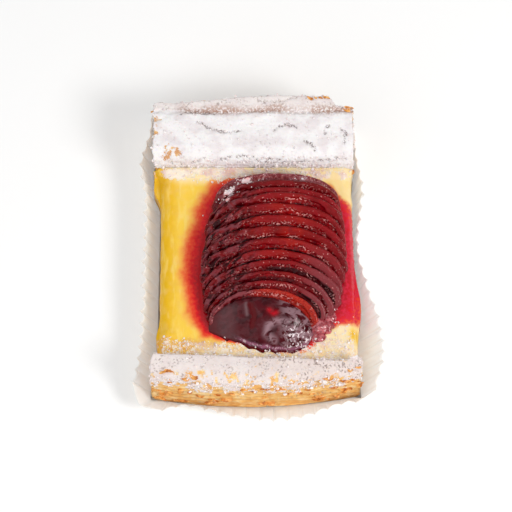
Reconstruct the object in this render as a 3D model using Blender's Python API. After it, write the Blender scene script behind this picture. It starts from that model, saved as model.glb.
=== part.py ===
"""A cut slice of a puff-pastry fruit tart, standing in its pleated paper case.

The slice is a block of puff pastry with a raised border along its front and its back, a bed of
pastry cream in the channel between them, and on the cream one poached fruit half, cut across
into thin slices that lean back on each other like fallen dominoes, with its end piece in front.
+X is to the right, +Y to the back and +Z up. Sizes are in metres.
"""

import math

import bmesh
import bpy
import numpy as np
from mathutils import Matrix, Vector

MM = 0.001

# ---- driving dimensions ---------------------------------------------------------------------

GAP = 0.3 * MM                      # clearance that touching pieces keep

# paper case
PAPER = 0.4 * MM                    # thickness of the pleated sheet
CASE_FRONT = -63.0 * MM             # fold between the case's floor and its wall
CASE_BACK = 67.0 * MM
CASE_LEFT_BACK = -42.3 * MM         # the case widens towards the front
CASE_LEFT_FRONT = -43.2 * MM
CASE_RIGHT_BACK = 40.5 * MM
CASE_RIGHT_FRONT = 44.2 * MM
CASE_CORNER = 4.5 * MM
CASE_BOW = 3.4 * MM                 # the front fold follows the bow of the front border
PLEATS = 62
PLEAT_DEPTH = 1.8 * MM
PLEAT_SHAPE = (1.0, 0.30, 0.0, 0.30)          # sharp outer tips with hollow arcs between them
# the free edge of the wall: direction seen from the middle in degrees, splay, rise, and how
# open its pleats are
CASE_RIM = (
    (0, -1.0, 14.0, 0.5), (13, -1.0, 14.0, 0.5), (30, 1.2, 15.0, 0.9), (42, 0.4, 14.0, 0.4),
    (57, 0.2, 13.0, 0.2), (90, 0.4, 12.0, 0.6), (120, 0.2, 13.0, 0.2), (134, 0.2, 14.0, 0.3),
    (142, 1.6, 15.0, 0.9), (160, 1.5, 15.0, 1.0), (180, 1.5, 14.5, 1.0), (205, 1.7, 14.0, 1.0),
    (225, 2.4, 13.0, 0.9), (236, 6.6, 9.0, 0.7), (246, 1.6, 10.0, 0.8), (262, 4.6, 8.0, 1.0),
    (275, 6.0, 7.5, 1.0), (287, 5.6, 7.5, 1.0), (297, 2.2, 8.5, 0.8), (304, 1.8, 11.0, 0.7),
    (314, 7.2, 13.0, 0.9), (324, 6.4, 13.5, 0.8), (340, 2.4, 14.0, 0.7),
)

# puff pastry
SHEET_TOP = 7.0 * MM                # floor of the channel
FRONT_FACE = -61.4 * MM             # the front border bows forward in its middle
FRONT_BOW = 4.0 * MM
FRONT_INNER = -49.3 * MM
FRONT_SKEW = 1.5 * MM               # its inner face runs a little forward to the right
FRONT_TOP = 24.0 * MM
BACK_FACE = 63.6 * MM
BACK_BOW = 4.2 * MM                 # the back one bows out most right of its middle
BACK_BOW_AT = 0.74
BACK_BREAK = 3.4 * MM               # the rear leaf has broken off near the right end
BACK_INNER = 36.0 * MM
BACK_TOP = 28.0 * MM
BORDER_LEFT = -41.6 * MM
BORDER_RIGHT_BACK = 39.6 * MM
BORDER_RIGHT_FRONT = 42.4 * MM
WAIST_LEFT = 3.2 * MM               # how far the sides draw in between the borders
WAIST_RIGHT = 0.9 * MM
LEAVES = 5                          # flaky leaves that stand out on each outer face
LEAF_REACH = 0.9 * MM
TOP_WAVE = 0.5 * MM
CRUST_ROUND = 5.5 * MM              # rounding of the front border's outer top edge
GROOVE = 58.3 * MM                  # crack between the back border's top and its rear leaf
GROOVE_DEPTH = 2.2 * MM
LIP_DROP = 1.2 * MM
LIP_RISE = 1.6 * MM                 # the rear leaf curls up in the middle
PASTRY_STATIONS = 33
FLOOR_STEPS = 4                     # spans of the channel's floor in a section
FRONT_CREST = 9                     # points of a section from the front leaves to the floor

# pastry cream
CREAM_TOP = 18.0 * MM
CREAM_FILLET_BACK = 2.6 * MM        # the cream climbs the borders
CREAM_FILLET_FRONT = 1.0 * MM
FILLET_WIDTH = 4.2 * MM
FILLET_WIDTH_FRONT = 3.5 * MM
CREAM_EDGE = 4.6 * MM               # rounding of the cream at the cut sides
CREAM_STATIONS = 17
CREAM_ROWS = 25

# poached fruit, sliced across and fanned
LEAN = math.radians(55)             # lean of the slices, from upright towards the back
SLICES = 13
FAN_BACK = 21.8 * MM                # where the rearmost slice stands on the cream
FAN_STEP = 5.3 * MM                 # from foot to foot
FAN_STEP_FRONT = 2.7 * MM           # the frontmost slices stand closer together
FAN_EVEN = 7                        # slices before the steps shorten
FAN_AT = (0.0, 0.25, 0.5, 0.75, 1.0)          # share of the fan, from back to front
FAN_LEFT = (-16.4, -20.8, -22.6, -21.6, -18.8)
FAN_RIGHT = (34.2, 36.8, 37.4, 35.0, 25.6)
FAN_HEIGHT = (11.5, 18.5, 19.5, 19.5, 15.6)   # along the leaning face
ROUND_LEFT = 1.95                   # superellipse exponents of a slice's outline
ROUND_RIGHT = (2.7, 2.3, 2.05, 2.0, 2.0)
OUTLINE_POINTS = 24
BELLY = 1.8 * MM                    # a slice is widest this far up its face
TUCK = 6.0 * MM                     # and rounds in below, down to this depth under the cream
SLICE_EDGE = 0.45 * MM
HEEL_DEPTH = 7.5 * MM               # the rear end of the fruit, behind the first cut
CAP_LEFT = -18.6 * MM
CAP_RIGHT = 22.8 * MM
CAP_HEIGHT = 14.6 * MM
CAP_DEPTH = 4.8 * MM
CAP_SLANT = 0.5                     # it is thin at its pointed left tip, full at the right
CAP_POINT = 1.2
CAP_FULL = 0.82
CAP_TURN = math.radians(-5)         # and turned a little to the right


# ---- helpers --------------------------------------------------------------------------------

def material(name, color, roughness, coat=0.0):
    """A plain Principled BSDF material."""
    made = bpy.data.materials.new(name)
    made.use_nodes = True
    shader = made.node_tree.nodes["Principled BSDF"]
    shader.inputs["Base Color"].default_value = (*color, 1.0)
    shader.inputs["Roughness"].default_value = roughness
    shader.inputs["Metallic"].default_value = 0.0
    shader.inputs["Coat Weight"].default_value = coat
    return made


def add_object(bm, name, finish, collection, smooth_angle=40):
    """Close a bmesh into a named object of the collection, with its faces pointing out."""
    bmesh.ops.recalc_face_normals(bm, faces=bm.faces)
    mesh = bpy.data.meshes.new(name)
    bm.to_mesh(mesh)
    bm.free()
    mesh.shade_smooth()
    mesh.set_sharp_from_angle(angle=math.radians(smooth_angle))
    mesh.materials.append(finish)
    made = bpy.data.objects.new(name, mesh)
    collection.objects.link(made)
    return made


def loft(sections, caps):
    """A closed bmesh through an array of closed sections (stations, points, xyz).

    caps lists the faces that close the first and the last section, by point number.
    """
    stations, count, _ = sections.shape
    bm = bmesh.new()
    rings = [[bm.verts.new(point) for point in section] for section in sections]
    for ring, following in zip(rings, rings[1:]):
        for k in range(count):
            after = (k + 1) % count
            bm.faces.new((ring[k], ring[after], following[after], following[k]))
    for ring in (rings[0], rings[stations - 1]):
        for corners in caps:
            bm.faces.new([ring[k] for k in corners])
    return bm


def close_cut(bm):
    """Fill the open boundary that a cut has left."""
    open_edges = [edge for edge in bm.edges if edge.is_boundary]
    bmesh.ops.holes_fill(bm, edges=open_edges, sides=0)


def cut_away(bm, point, normal):
    """Remove what lies on the normal's side of a plane and close the cut."""
    bmesh.ops.bisect_plane(bm, geom=bm.verts[:] + bm.edges[:] + bm.faces[:], dist=1e-7,
                           plane_co=point, plane_no=normal, clear_outer=True)
    close_cut(bm)


def wave(s, seed):
    """A smooth uneven wave between about -1 and 1 along s in 0..1: three sines."""
    return (0.55 * np.sin(2 * math.pi * (1.3 * s + 0.37 * seed))
            + 0.30 * np.sin(2 * math.pi * (2.9 * s + 0.71 * seed + 0.2))
            + 0.15 * np.sin(2 * math.pi * (6.1 * s + 0.53 * seed + 0.6)))


def ease(s):
    """Smooth step from 0 to 1."""
    s = np.clip(s, 0.0, 1.0)
    return s * s * (3.0 - 2.0 * s)


# ---- paper case -----------------------------------------------------------------------------

def case_fold(samples):
    """Plan points and outward normals of the rounded fold, evenly spaced along it."""
    corners = (
        ((CASE_RIGHT_FRONT, CASE_FRONT), -90), ((CASE_RIGHT_BACK, CASE_BACK), 0),
        ((CASE_LEFT_BACK, CASE_BACK), 90), ((CASE_LEFT_FRONT, CASE_FRONT), 180),
    )
    path = []
    for (x, y), start in corners:
        center = (x - math.copysign(CASE_CORNER, x), y - math.copysign(CASE_CORNER, y))
        turn = np.radians(start + np.linspace(0, 90, 13))
        path.extend(zip(center[0] + CASE_CORNER * np.cos(turn),
                        center[1] + CASE_CORNER * np.sin(turn)))
    path = np.array(path + path[:1])
    along = np.concatenate([[0.0], np.cumsum(np.linalg.norm(np.diff(path, axis=0), axis=1))])
    at = np.linspace(0, along[-1], samples, endpoint=False)
    plan = np.stack([np.interp(at, along, path[:, axis]) for axis in (0, 1)], axis=1)
    plan[:, 1] += (CASE_BOW * (plan[:, 0] / CASE_RIGHT_FRONT) ** 2
                   * ease((plan[:, 1] / CASE_FRONT - 0.5) * 2))
    tangent = np.roll(plan, -2, axis=0) - np.roll(plan, 2, axis=0)
    tangent /= np.linalg.norm(tangent, axis=1, keepdims=True)
    return plan, np.stack([tangent[:, 1], -tangent[:, 0]], axis=1)


def rim_values(plan):
    """Splay, rise and pleat share of the free edge, by the direction from the middle."""
    direction = np.degrees(np.arctan2(plan[:, 1], plan[:, 0])) % 360
    rim = np.array(CASE_RIM)
    rim = np.vstack([rim[-1] - (360, 0, 0, 0), rim, rim[0] + (360, 0, 0, 0)])
    width = 9
    smooth = np.ones(width) / width
    values = []
    for column, unit in ((1, MM), (2, MM), (3, 1.0)):
        value = np.interp(direction, rim[:, 0], rim[:, column]) * unit
        around = np.concatenate([value[-width:], value, value[:width]])
        values.append(np.convolve(around, smooth, "same")[width:-width])
    return values


def paper_case(collection):
    """A flat floor and one pleated wall that splays outwards, as one thin closed sheet."""
    columns = PLEATS * len(PLEAT_SHAPE)
    plan, outward = case_fold(columns)
    splay, rise, openness = rim_values(plan)
    pleat = PLEAT_DEPTH * openness * np.tile(PLEAT_SHAPE, PLEATS)
    rows = []
    for inner, heights in ((0, (0.0, 0.5, 1.0)), (1, (1.0, 0.5, 0.0))):
        for height in heights:
            push = splay * height + pleat * height ** 0.7 - inner * PAPER
            level = rise * height + inner * PAPER * (1.0 - height)
            rows.append(np.column_stack([plan + outward * push[:, None], level]))
    bm = loft(np.array(rows), [range(columns)])
    return add_object(bm, "paper_case", material("case_paper", (0.78, 0.68, 0.57), 0.6),
                      collection, smooth_angle=25)


# ---- puff pastry ----------------------------------------------------------------------------

def waist(y):
    """1 between the borders, 0 at them."""
    reach = 9 * MM
    return ease((y - FRONT_INNER) / reach + 0.3) * ease((BACK_INNER - y) / reach + 0.3)


def front_inner(share):
    """Inner face of the front border at one share of its width."""
    return FRONT_INNER - FRONT_SKEW * (2.0 * share - 1.0)


def left_side(y):
    """Where the cut left side stands, by depth."""
    return BORDER_LEFT + WAIST_LEFT * waist(y)


def right_side(y):
    """Where the cut right side stands, by depth."""
    share = (BACK_FACE - y) / (BACK_FACE - FRONT_FACE)
    edge = BORDER_RIGHT_BACK + (BORDER_RIGHT_FRONT - BORDER_RIGHT_BACK) * share
    return edge - WAIST_RIGHT * waist(y)


def leafy_face(face, outward, low, high, share, seed):
    """Upward points of a flaky face: each leaf juts out above a narrow crease."""
    points = []
    tall = (high - low) / LEAVES
    for leaf in range(LEAVES):
        foot = low + leaf * tall
        reach = LEAF_REACH * (0.55 + 0.45 * wave(share, seed + leaf))
        points += [(face - outward * 0.5 * LEAF_REACH, foot + 0.05 * tall),
                   (face + outward * reach, foot + 0.35 * tall),
                   (face + outward * 0.85 * reach, foot + 0.85 * tall)]
    return points


def pastry_section(share):
    """Closed outline of the pastry in depth and height at one share of its width."""
    front = FRONT_FACE + FRONT_BOW * (2.0 * share - 0.92) ** 2
    bow = 1.0 - (share / BACK_BOW_AT - 1.0) ** 2
    inner = front_inner(share)
    broken = ease((share - 0.88) / 0.05)
    back = BACK_FACE + BACK_BOW * (bow - 0.5) - BACK_BREAK * broken
    bottom = PAPER + GAP
    swell = TOP_WAVE * wave(share, 3)
    top = FRONT_TOP + swell
    points = leafy_face(front, -1, bottom, top - CRUST_ROUND, share, 1)
    for step in range(1, 5):
        turn = math.radians(90 * step / 4)
        points.append((front + CRUST_ROUND * (1 - math.cos(turn)) * 0.8,
                       top - CRUST_ROUND * (1 - math.sin(turn))))
    points += [(front + 7.5 * MM, top + TOP_WAVE * wave(share, 5)),
               (inner - 1.0 * MM, top + 0.4 * MM * wave(share, 6)),
               (inner - 0.2 * MM, top - 0.6 * MM),
               (inner, top - 2.4 * MM),
               (inner, CREAM_TOP - 2 * MM), (inner, SHEET_TOP)]
    floor = np.linspace(inner, BACK_INNER, FLOOR_STEPS + 1)[1:-1]
    points += [(y, SHEET_TOP) for y in floor]
    tall = BACK_TOP + TOP_WAVE * wave(share, 9)
    foot = CREAM_TOP + CREAM_FILLET_BACK
    points += [(BACK_INNER, SHEET_TOP), (BACK_INNER, foot - 1.5 * MM),
               (BACK_INNER + 0.5 * MM, foot),
               (BACK_INNER + 0.9 * MM, tall - 4.2 * MM + 0.3 * MM * wave(share, 10)),
               (BACK_INNER + 2.0 * MM, tall - 2.3 * MM),
               (BACK_INNER + 4.0 * MM, tall - 0.8 * MM + 0.3 * MM * wave(share, 11))]
    for step in range(1, 5):
        y = BACK_INNER + 4.0 * MM + step / 4 * (GROOVE - BACK_INNER - 5.6 * MM)
        points.append((y, tall + TOP_WAVE * wave(share, 12 + step)))
    rear = tall - LIP_DROP * (1 - broken) + TOP_WAVE * wave(share, 18)
    curl = LIP_RISE * bow * (1 - broken)
    points += [(GROOVE - 0.8 * MM, tall - 0.6 * MM),
               (GROOVE, tall - GROOVE_DEPTH * (0.75 + 0.25 * wave(share, 17))),
               (GROOVE + 0.7 * MM, rear + 0.2 * MM + 0.5 * curl),
               ((GROOVE + back) / 2, rear + 0.3 * MM + 0.9 * curl),
               (back - 0.6 * MM, rear - 0.2 * MM + curl)]
    points += leafy_face(back, 1, bottom, rear - 1.2 * MM, share, 21)[::-1]
    points += [(BACK_INNER, bottom)] + [(y, bottom) for y in floor[::-1]] + [(inner, bottom)]
    return np.array(points)


def pastry_caps():
    """Faces of a cut side: the two borders, and the sheet between them as a row of quads."""
    front_end = 3 * LEAVES + FRONT_CREST
    back_start = front_end + FLOOR_STEPS
    last = len(pastry_section(0.0)) - 1
    back_end = last - FLOOR_STEPS - 1
    caps = [[*range(front_end + 1), last], list(range(back_start, back_end + 2))]
    for step in range(FLOOR_STEPS):
        upper, lower = front_end + step, last - step
        caps.append([upper, upper + 1, lower - 1, lower])
    return caps


def pastry_shell(collection):
    """The sections of the pastry carried from the left cut side to the right one."""
    sections = []
    for share in np.linspace(0, 1, PASTRY_STATIONS):
        outline = pastry_section(share)
        depth, height = outline[:, 0], outline[:, 1]
        inset = 1.0 * MM * ease(1.0 - (height - PAPER) / (4 * MM))
        left, right = left_side(depth) + inset, right_side(depth) - inset
        across = left + (right - left) * share
        ragged = 0.35 * MM * np.sin(height / (1.9 * MM) + depth / (11 * MM))
        across += ragged * (1.0 if share == 0 else -1.0 if share == 1 else 0.0)
        sections.append(np.column_stack([across, depth, height]))
    bm = loft(np.array(sections), pastry_caps())
    return add_object(bm, "pastry_shell", material("sugared_pastry", (0.80, 0.62, 0.40), 0.75),
                      collection, smooth_angle=35)


# ---- pastry cream ---------------------------------------------------------------------------

def cream_top(across, depth, inner):
    """Height of the cream: level under the fruit, climbing the borders, dropping at the cuts."""
    back = CREAM_FILLET_BACK * np.clip(1.0 - (BACK_INNER - depth) / FILLET_WIDTH, 0, 1) ** 2
    front = CREAM_FILLET_FRONT * np.clip(1.0 - (depth - inner) / FILLET_WIDTH_FRONT, 0, 1) ** 2
    left = across - left_side(depth)
    right = right_side(depth) - across
    edge = np.clip(1.0 - np.minimum(left, right) / CREAM_EDGE, 0.0, 1.0)
    drop = CREAM_EDGE * (1.0 - np.sqrt(1.0 - 0.96 * edge ** 2))
    lumps = 0.25 * MM * (wave(depth / (90 * MM), 2) - 1.0)
    return CREAM_TOP + back + front - drop + lumps * ease(1.0 - left / (20 * MM))


def cream_section(share):
    """Closed outline of the cream at one share of its width: a flat sole and a soft top."""
    inner = front_inner(share)
    depth = np.linspace(inner + GAP, BACK_INNER - GAP, CREAM_ROWS)
    left, right = left_side(depth), right_side(depth)
    across = left + (right - left) * share
    crown = np.column_stack([across, depth, cream_top(across, depth, inner)])
    sole = np.column_stack([across, depth, np.full(CREAM_ROWS, SHEET_TOP + GAP)])
    return np.vstack([sole, crown[::-1]])


def custard(collection):
    """The bed of pastry cream that fills the channel from one cut side to the other."""
    shares = 0.5 - 0.5 * np.cos(np.linspace(0, math.pi, CREAM_STATIONS))
    last = 2 * CREAM_ROWS - 1
    caps = [[k, k + 1, last - k - 1, last - k] for k in range(CREAM_ROWS - 1)]
    bm = loft(np.array([cream_section(share) for share in shares]), caps)
    return add_object(bm, "custard", material("pastry_cream", (0.86, 0.62, 0.11), 0.35),
                      collection, smooth_angle=50)


# ---- fruit ----------------------------------------------------------------------------------

FACE_UP = Vector((0, math.sin(LEAN), math.cos(LEAN)))        # up along a leaning slice
FACE_OUT = Vector((0, -math.cos(LEAN), math.sin(LEAN)))      # from a slice to the next in front
SEAT = CREAM_TOP + GAP


def fan_value(values, share):
    """A size of the fan at a share of its length, in metres."""
    return float(np.interp(share, FAN_AT, values)) * MM


def fan_feet():
    """Depth at which each slice stands, and that of the end piece behind its flat face."""
    shorter = ease((np.arange(SLICES) - FAN_EVEN) / 3.0)
    steps = FAN_STEP - (FAN_STEP - FAN_STEP_FRONT) * shorter
    return FAN_BACK - np.concatenate([[0.0], np.cumsum(steps)])


def place(middle, foot, turn=0.0):
    """Matrix from (across, up the face, out of the face) to the fan, standing at a foot."""
    axes = Matrix((Vector((1, 0, 0)), FACE_UP, FACE_OUT)).transposed().to_4x4()
    stand = Matrix.Translation((middle, foot, SEAT))
    return stand @ Matrix.Rotation(turn, 4, "Z") @ axes


def slice_outline(half, height, right_round):
    """Outline of a slice across and up its face: a superellipse, widest at the belly."""
    turn = np.linspace(-0.25, 1.25, OUTLINE_POINTS) * math.pi
    power = np.where(np.cos(turn) > 0, 2 / right_round, 2 / ROUND_LEFT)
    across = half * np.sign(np.cos(turn)) * np.abs(np.cos(turn)) ** power
    reach = np.where(turn % (2 * math.pi) < math.pi, height - BELLY, TUCK)
    up = BELLY + reach * np.sign(np.sin(turn)) * np.abs(np.sin(turn)) ** power
    return np.column_stack([across, up])


def fruit_slice(number, foot, next_foot, finish, collection):
    """One leaning slice: an arch-shaped slab with soft edges, level where it meets the cream."""
    share = (number - 1) / (SLICES - 1)
    left, right = fan_value(FAN_LEFT, share), fan_value(FAN_RIGHT, share)
    middle = (left + right) / 2
    thick = (foot - next_foot) * math.cos(LEAN) - GAP
    outline = slice_outline((right - left) / 2, fan_value(FAN_HEIGHT, share),
                            float(np.interp(share, FAN_AT, ROUND_RIGHT)))
    bm = bmesh.new()
    face = bm.faces.new([bm.verts.new((x, y, 0.0)) for x, y in outline])
    grown = bmesh.ops.extrude_face_region(bm, geom=[face])["geom"]
    moved = [item for item in grown if isinstance(item, bmesh.types.BMVert)]
    bmesh.ops.translate(bm, verts=moved, vec=(0, 0, thick))
    bmesh.ops.recalc_face_normals(bm, faces=bm.faces)
    rims = [edge for edge in bm.edges if abs(edge.verts[0].co.z - edge.verts[1].co.z) < 1e-7]
    bmesh.ops.bevel(bm, geom=rims, offset=SLICE_EDGE, segments=1, affect="EDGES", profile=0.5)
    bmesh.ops.transform(bm, matrix=place(middle, foot), verts=bm.verts)
    cut_away(bm, (0, 0, SEAT), (0, 0, -1))
    return add_object(bm, f"fruit_slice_{number:02d}", finish, collection)


def fruit_end(name, left, right, height, depth, slant, foot, keep, turn, finish, collection):
    """A rounded end of the fruit: an ellipsoid cut flat by the blade and by the cream.

    slant shares the depth and the point between the left tip and the right one.
    """
    tip = {-1: CAP_POINT if slant else CAP_FULL, 1: CAP_FULL}
    middle = (left + right) / 2
    bm = bmesh.new()
    bmesh.ops.create_uvsphere(bm, u_segments=28, v_segments=16, radius=1.0)
    for vert in bm.verts:
        vert.co.z *= depth * (1.0 + slant * vert.co.x)
        side = 1 if vert.co.x > 0 else -1
        vert.co.x = side * abs(vert.co.x) ** tip[side] * (right - left) / 2
        vert.co.y *= height
    stand = place(middle, foot, turn)
    bmesh.ops.transform(bm, matrix=stand, verts=bm.verts)
    cut_away(bm, Vector((middle, foot, SEAT)) + FACE_OUT * keep[0], -FACE_OUT * keep[1])
    cut_away(bm, (0, 0, SEAT), (0, 0, -1))
    return add_object(bm, name, finish, collection)


def fruit(collection):
    """The heel of the fruit, its leaning slices and the end piece in front."""
    flesh = material("poached_fruit", (0.24, 0.02, 0.03), 0.2, coat=0.5)
    feet = fan_feet()
    first = (feet[0] - feet[1]) * math.cos(LEAN) - GAP
    fruit_end("fruit_slice_01", FAN_LEFT[0] * MM, FAN_RIGHT[0] * MM, FAN_HEIGHT[0] * MM,
              HEEL_DEPTH, 0.0, feet[0], (first, -1), 0.0, flesh, collection)
    for number in range(2, SLICES + 1):
        fruit_slice(number, feet[number - 1], feet[number], flesh, collection)
    skin = material("fruit_skin", (0.10, 0.03, 0.04), 0.12, coat=1.0)
    fruit_end("fruit_cap", CAP_LEFT, CAP_RIGHT, CAP_HEIGHT, CAP_DEPTH, CAP_SLANT,
              feet[SLICES], (0.0, 1), CAP_TURN, skin, collection)


# ---- the whole slice ------------------------------------------------------------------------

def stand_at_origin(collection):
    """Move every mesh by one shift, so that the box's bottom centre is the origin."""
    corners = [obj.matrix_world @ vert.co for obj in collection.objects for vert in obj.data.vertices]
    points = np.array([tuple(corner) for corner in corners])
    low, high = points.min(axis=0), points.max(axis=0)
    shift = Matrix.Translation((-(low[0] + high[0]) / 2, -(low[1] + high[1]) / 2, -low[2]))
    for obj in collection.objects:
        obj.data.transform(shift)


def main():
    """Build the slice and its case."""
    for obj in list(bpy.data.objects):
        bpy.data.objects.remove(obj, do_unlink=True)
    collection = bpy.data.collections.new("fruit_tart")
    bpy.context.scene.collection.children.link(collection)
    paper_case(collection)
    pastry_shell(collection)
    custard(collection)
    fruit(collection)
    stand_at_origin(collection)


main()
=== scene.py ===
"""Looks of a cut slice of a puff-pastry fruit tart, standing in its pleated paper case.

Every piece is a surface worked out with numpy in millimetres from the drawing's origin, and is
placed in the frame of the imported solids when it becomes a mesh. +X is to the right, +Y to the
back and +Z up.
"""

import math

import bpy
import numpy as np
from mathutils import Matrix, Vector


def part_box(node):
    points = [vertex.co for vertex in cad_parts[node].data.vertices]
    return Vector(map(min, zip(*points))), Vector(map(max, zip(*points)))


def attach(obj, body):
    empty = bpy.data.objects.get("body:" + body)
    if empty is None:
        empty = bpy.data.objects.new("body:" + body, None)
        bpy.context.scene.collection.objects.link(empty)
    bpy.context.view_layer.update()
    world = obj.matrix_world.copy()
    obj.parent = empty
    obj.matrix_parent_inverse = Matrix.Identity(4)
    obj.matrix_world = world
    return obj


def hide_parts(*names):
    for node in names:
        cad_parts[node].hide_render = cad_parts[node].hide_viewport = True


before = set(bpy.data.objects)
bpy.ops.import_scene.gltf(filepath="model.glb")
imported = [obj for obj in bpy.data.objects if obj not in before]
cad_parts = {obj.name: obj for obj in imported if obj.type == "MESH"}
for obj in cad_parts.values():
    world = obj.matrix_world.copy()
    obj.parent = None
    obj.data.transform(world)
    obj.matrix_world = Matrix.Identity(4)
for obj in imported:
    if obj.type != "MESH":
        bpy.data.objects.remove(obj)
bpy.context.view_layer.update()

bl_info = {
    "name": "Fruit tart slice",
    "version": (1, 0, 0),
    "blender": (4, 5, 0),
    "location": "3D View > Sidebar > Tart",
    "description": "Pastry, cream, fanned fruit, sugar and paper case of a cut fruit tart slice",
    "category": "Add Mesh",
}

MM = 0.001
BODY = "root"

# ---- main sizes, in millimetres from the drawing's origin ------------------------------------

GAP = 0.3                       # clearance that touching pieces keep
BASE = 0.7                      # the pastry stands this high, on the paper
SHEET_TOP = 7.0                 # floor of the channel between the borders
FRONT_FACE, FRONT_BOW = -61.4, 4.0
FRONT_INNER, FRONT_SKEW = -49.3, 1.5
FRONT_TOP = 24.0
BACK_FACE, BACK_BOW, BACK_BOW_AT = 63.6, 4.2, 0.74
BACK_BREAK = 3.4                # the rear leaf has broken off near the right end
BREAK_AT, BREAK_RUN = 0.88, 0.05    # share of the width where it has, and how abruptly
BACK_INNER, BACK_TOP = 36.0, 28.0
BORDER_LEFT, BORDER_RIGHT_BACK, BORDER_RIGHT_FRONT = -41.6, 39.6, 42.4
BORDER_WIDTH = 84               # at the front, from cut side to cut side
WAIST_LEFT, WAIST_RIGHT = 3.2, 0.9
TOP_WAVE = 0.5
GROOVE, GROOVE_DEPTH = 58.3, 2.2
LIP_DROP, LIP_RISE = 1.2, 1.6

CREAM_TOP = 18.0
CREAM_EDGE = 4.6                # rounding of the cream at the cut sides
FILLET_BACK, FILLET_BACK_WIDTH = 3.1, 4.2
FILLET_FRONT, FILLET_FRONT_WIDTH = 1.0, 3.5

LEAN = math.radians(55)         # lean of the slices, from upright towards the back
SLICES = 13
FAN_BACK, FAN_STEP, FAN_STEP_FRONT, FAN_EVEN = 21.8, 5.3, 2.7, 7
FAN_AT = (0.0, 0.25, 0.5, 0.75, 1.0)
FAN_LEFT = (-16.4, -20.8, -22.6, -21.6, -18.8)
FAN_RIGHT = (34.2, 36.8, 37.4, 35.0, 25.6)
FAN_HEIGHT = (11.5, 18.5, 19.5, 19.5, 15.6)
ROUND_LEFT, ROUND_RIGHT = 1.95, (2.7, 2.3, 2.05, 2.0, 2.0)
BELLY, TUCK = 1.8, 6.0
SEAT, SINK = CREAM_TOP + GAP, 0.7   # where the fruit stands, and how far it sinks in at most
HEEL_DEPTH = 7.5
CAP_LEFT, CAP_RIGHT, CAP_HEIGHT, CAP_DEPTH = -18.6, 22.8, 14.6, 4.8
CAP_SLANT, CAP_POINT, CAP_FULL, CAP_TURN = 0.5, 1.2, 0.82, math.radians(-5)
# edge of the fruit on the cream, behind the first slice and in front of the end piece
HEEL_EDGE = ((-12, 27), (-4, 30), (9, 31.4), (22, 30), (30, 27))
CAP_EDGE = ((22.3, -38.4), (22.4, -40.8), (19.2, -43.2), (14, -44.2), (9, -44.4), (4, -43.2),
            (-2, -41.8), (-8, -40), (-14, -37.4), (-17.8, -34.4))

CASE_FRONT, CASE_BACK = -63.0, 67.0
CASE_LEFT_BACK, CASE_LEFT_FRONT, CASE_RIGHT_BACK, CASE_RIGHT_FRONT = -42.3, -43.2, 40.5, 44.2
CASE_CORNER, CASE_BOW, CORNER_POINTS = 4.5, 3.4, 13
PLEATS, PLEAT_SAMPLES, PLEAT_DEPTH = 78, 20, 1.8
CASE_ROWS = 15                  # rings of points up the wall, on each side of the sheet
# direction seen from the middle in degrees, splay, rise, and how open the pleats are
CASE_RIM = (
    (0, -1.0, 14.0, 0.5), (13, -1.0, 14.0, 0.5), (28, 1.4, 15.0, 0.9), (37, 2.2, 15.0, 0.7),
    (45, 0.4, 14.0, 0.4), (57, 0.2, 13.0, 0.2), (90, 0.4, 12.0, 0.6), (120, 0.2, 13.0, 0.2),
    (128, 0.6, 14.0, 0.4), (134, 4.0, 15.0, 0.7), (139, 4.2, 15.0, 0.9), (145, 1.8, 15.0, 0.9),
    (160, 1.5, 15.0, 1.0), (180, 1.5, 14.5, 1.0), (205, 1.7, 14.0, 1.0),
    (225, 2.4, 13.0, 0.9), (236, 6.6, 9.0, 0.7), (246, 1.6, 10.0, 0.8), (262, 4.6, 8.0, 1.0),
    (275, 6.0, 7.5, 1.0), (287, 5.6, 7.5, 1.0), (297, 2.2, 8.5, 0.8), (304, 1.8, 11.0, 0.7),
    (314, 7.2, 13.0, 0.9), (324, 6.4, 13.5, 0.8), (340, 2.4, 14.0, 0.7),
)

# ---- sizes of the finer forms, in millimetres ------------------------------------------------

PASTRY_SPACING = 0.42           # distance between the points of a pastry surface
CREAM_SPACING = 0.45
PLAN_WIDTH = 100.0              # of the bell that a distance in plan is read back from
CUT_RINGS = 26                  # rings that close a cut side towards its middle
CUT_FOOT = 4.0                  # the cut sides draw in by 1 mm below this height
BREAK_EXTRA = 1.2               # the bare end is broken off deeper than the solid's
CORNER_DRAWN, CORNER_RUN = 1.6, 0.16    # the rear left corner, and its share of the width

# cracks of the sugar: across and depth on top, across and height on the inner face
TOP_CRACKS = (
    ((-23, 53.5), (-19, 51), (-15.7, 49.3), (-11.7, 48.4), (-6, 49.4)),
    ((7.3, 48.6), (10, 51.4), (13, 52.2), (16.6, 50.6)),
    ((28.2, 48.4), (30.6, 52.4)),
    ((20.2, 44.2), (22.6, 43.4), (24.2, 41)),
    ((-31, 57.2), (-26, 57.6), (-17, 57.4)),
    ((4, 62.4), (12, 62.8), (17, 64.6)),
    ((35, 50.5), (37, 48), (36, 43)),
)
FACE_CRACKS = (
    ((-14, 25.0), (-6, 25.9), (1, 25.8), (10, 25.1)),
    ((0, 24.8), (8, 23.4), (14, 24.0), (23, 24.2), (30, 25.0)),
    ((-26, 23.2), (-22, 25.0), (-20, 26.2)),
    ((33, 25.8), (37, 25.2)),
    ((-34.6, 24.0), (-32.4, 21.8), (-30.6, 23.8), (-29, 21.6)),
)
CRACK_WIDTH, FACE_CRACK_WIDTH = 0.8, 0.55
CRACK_DEPTH = 0.45
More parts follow.
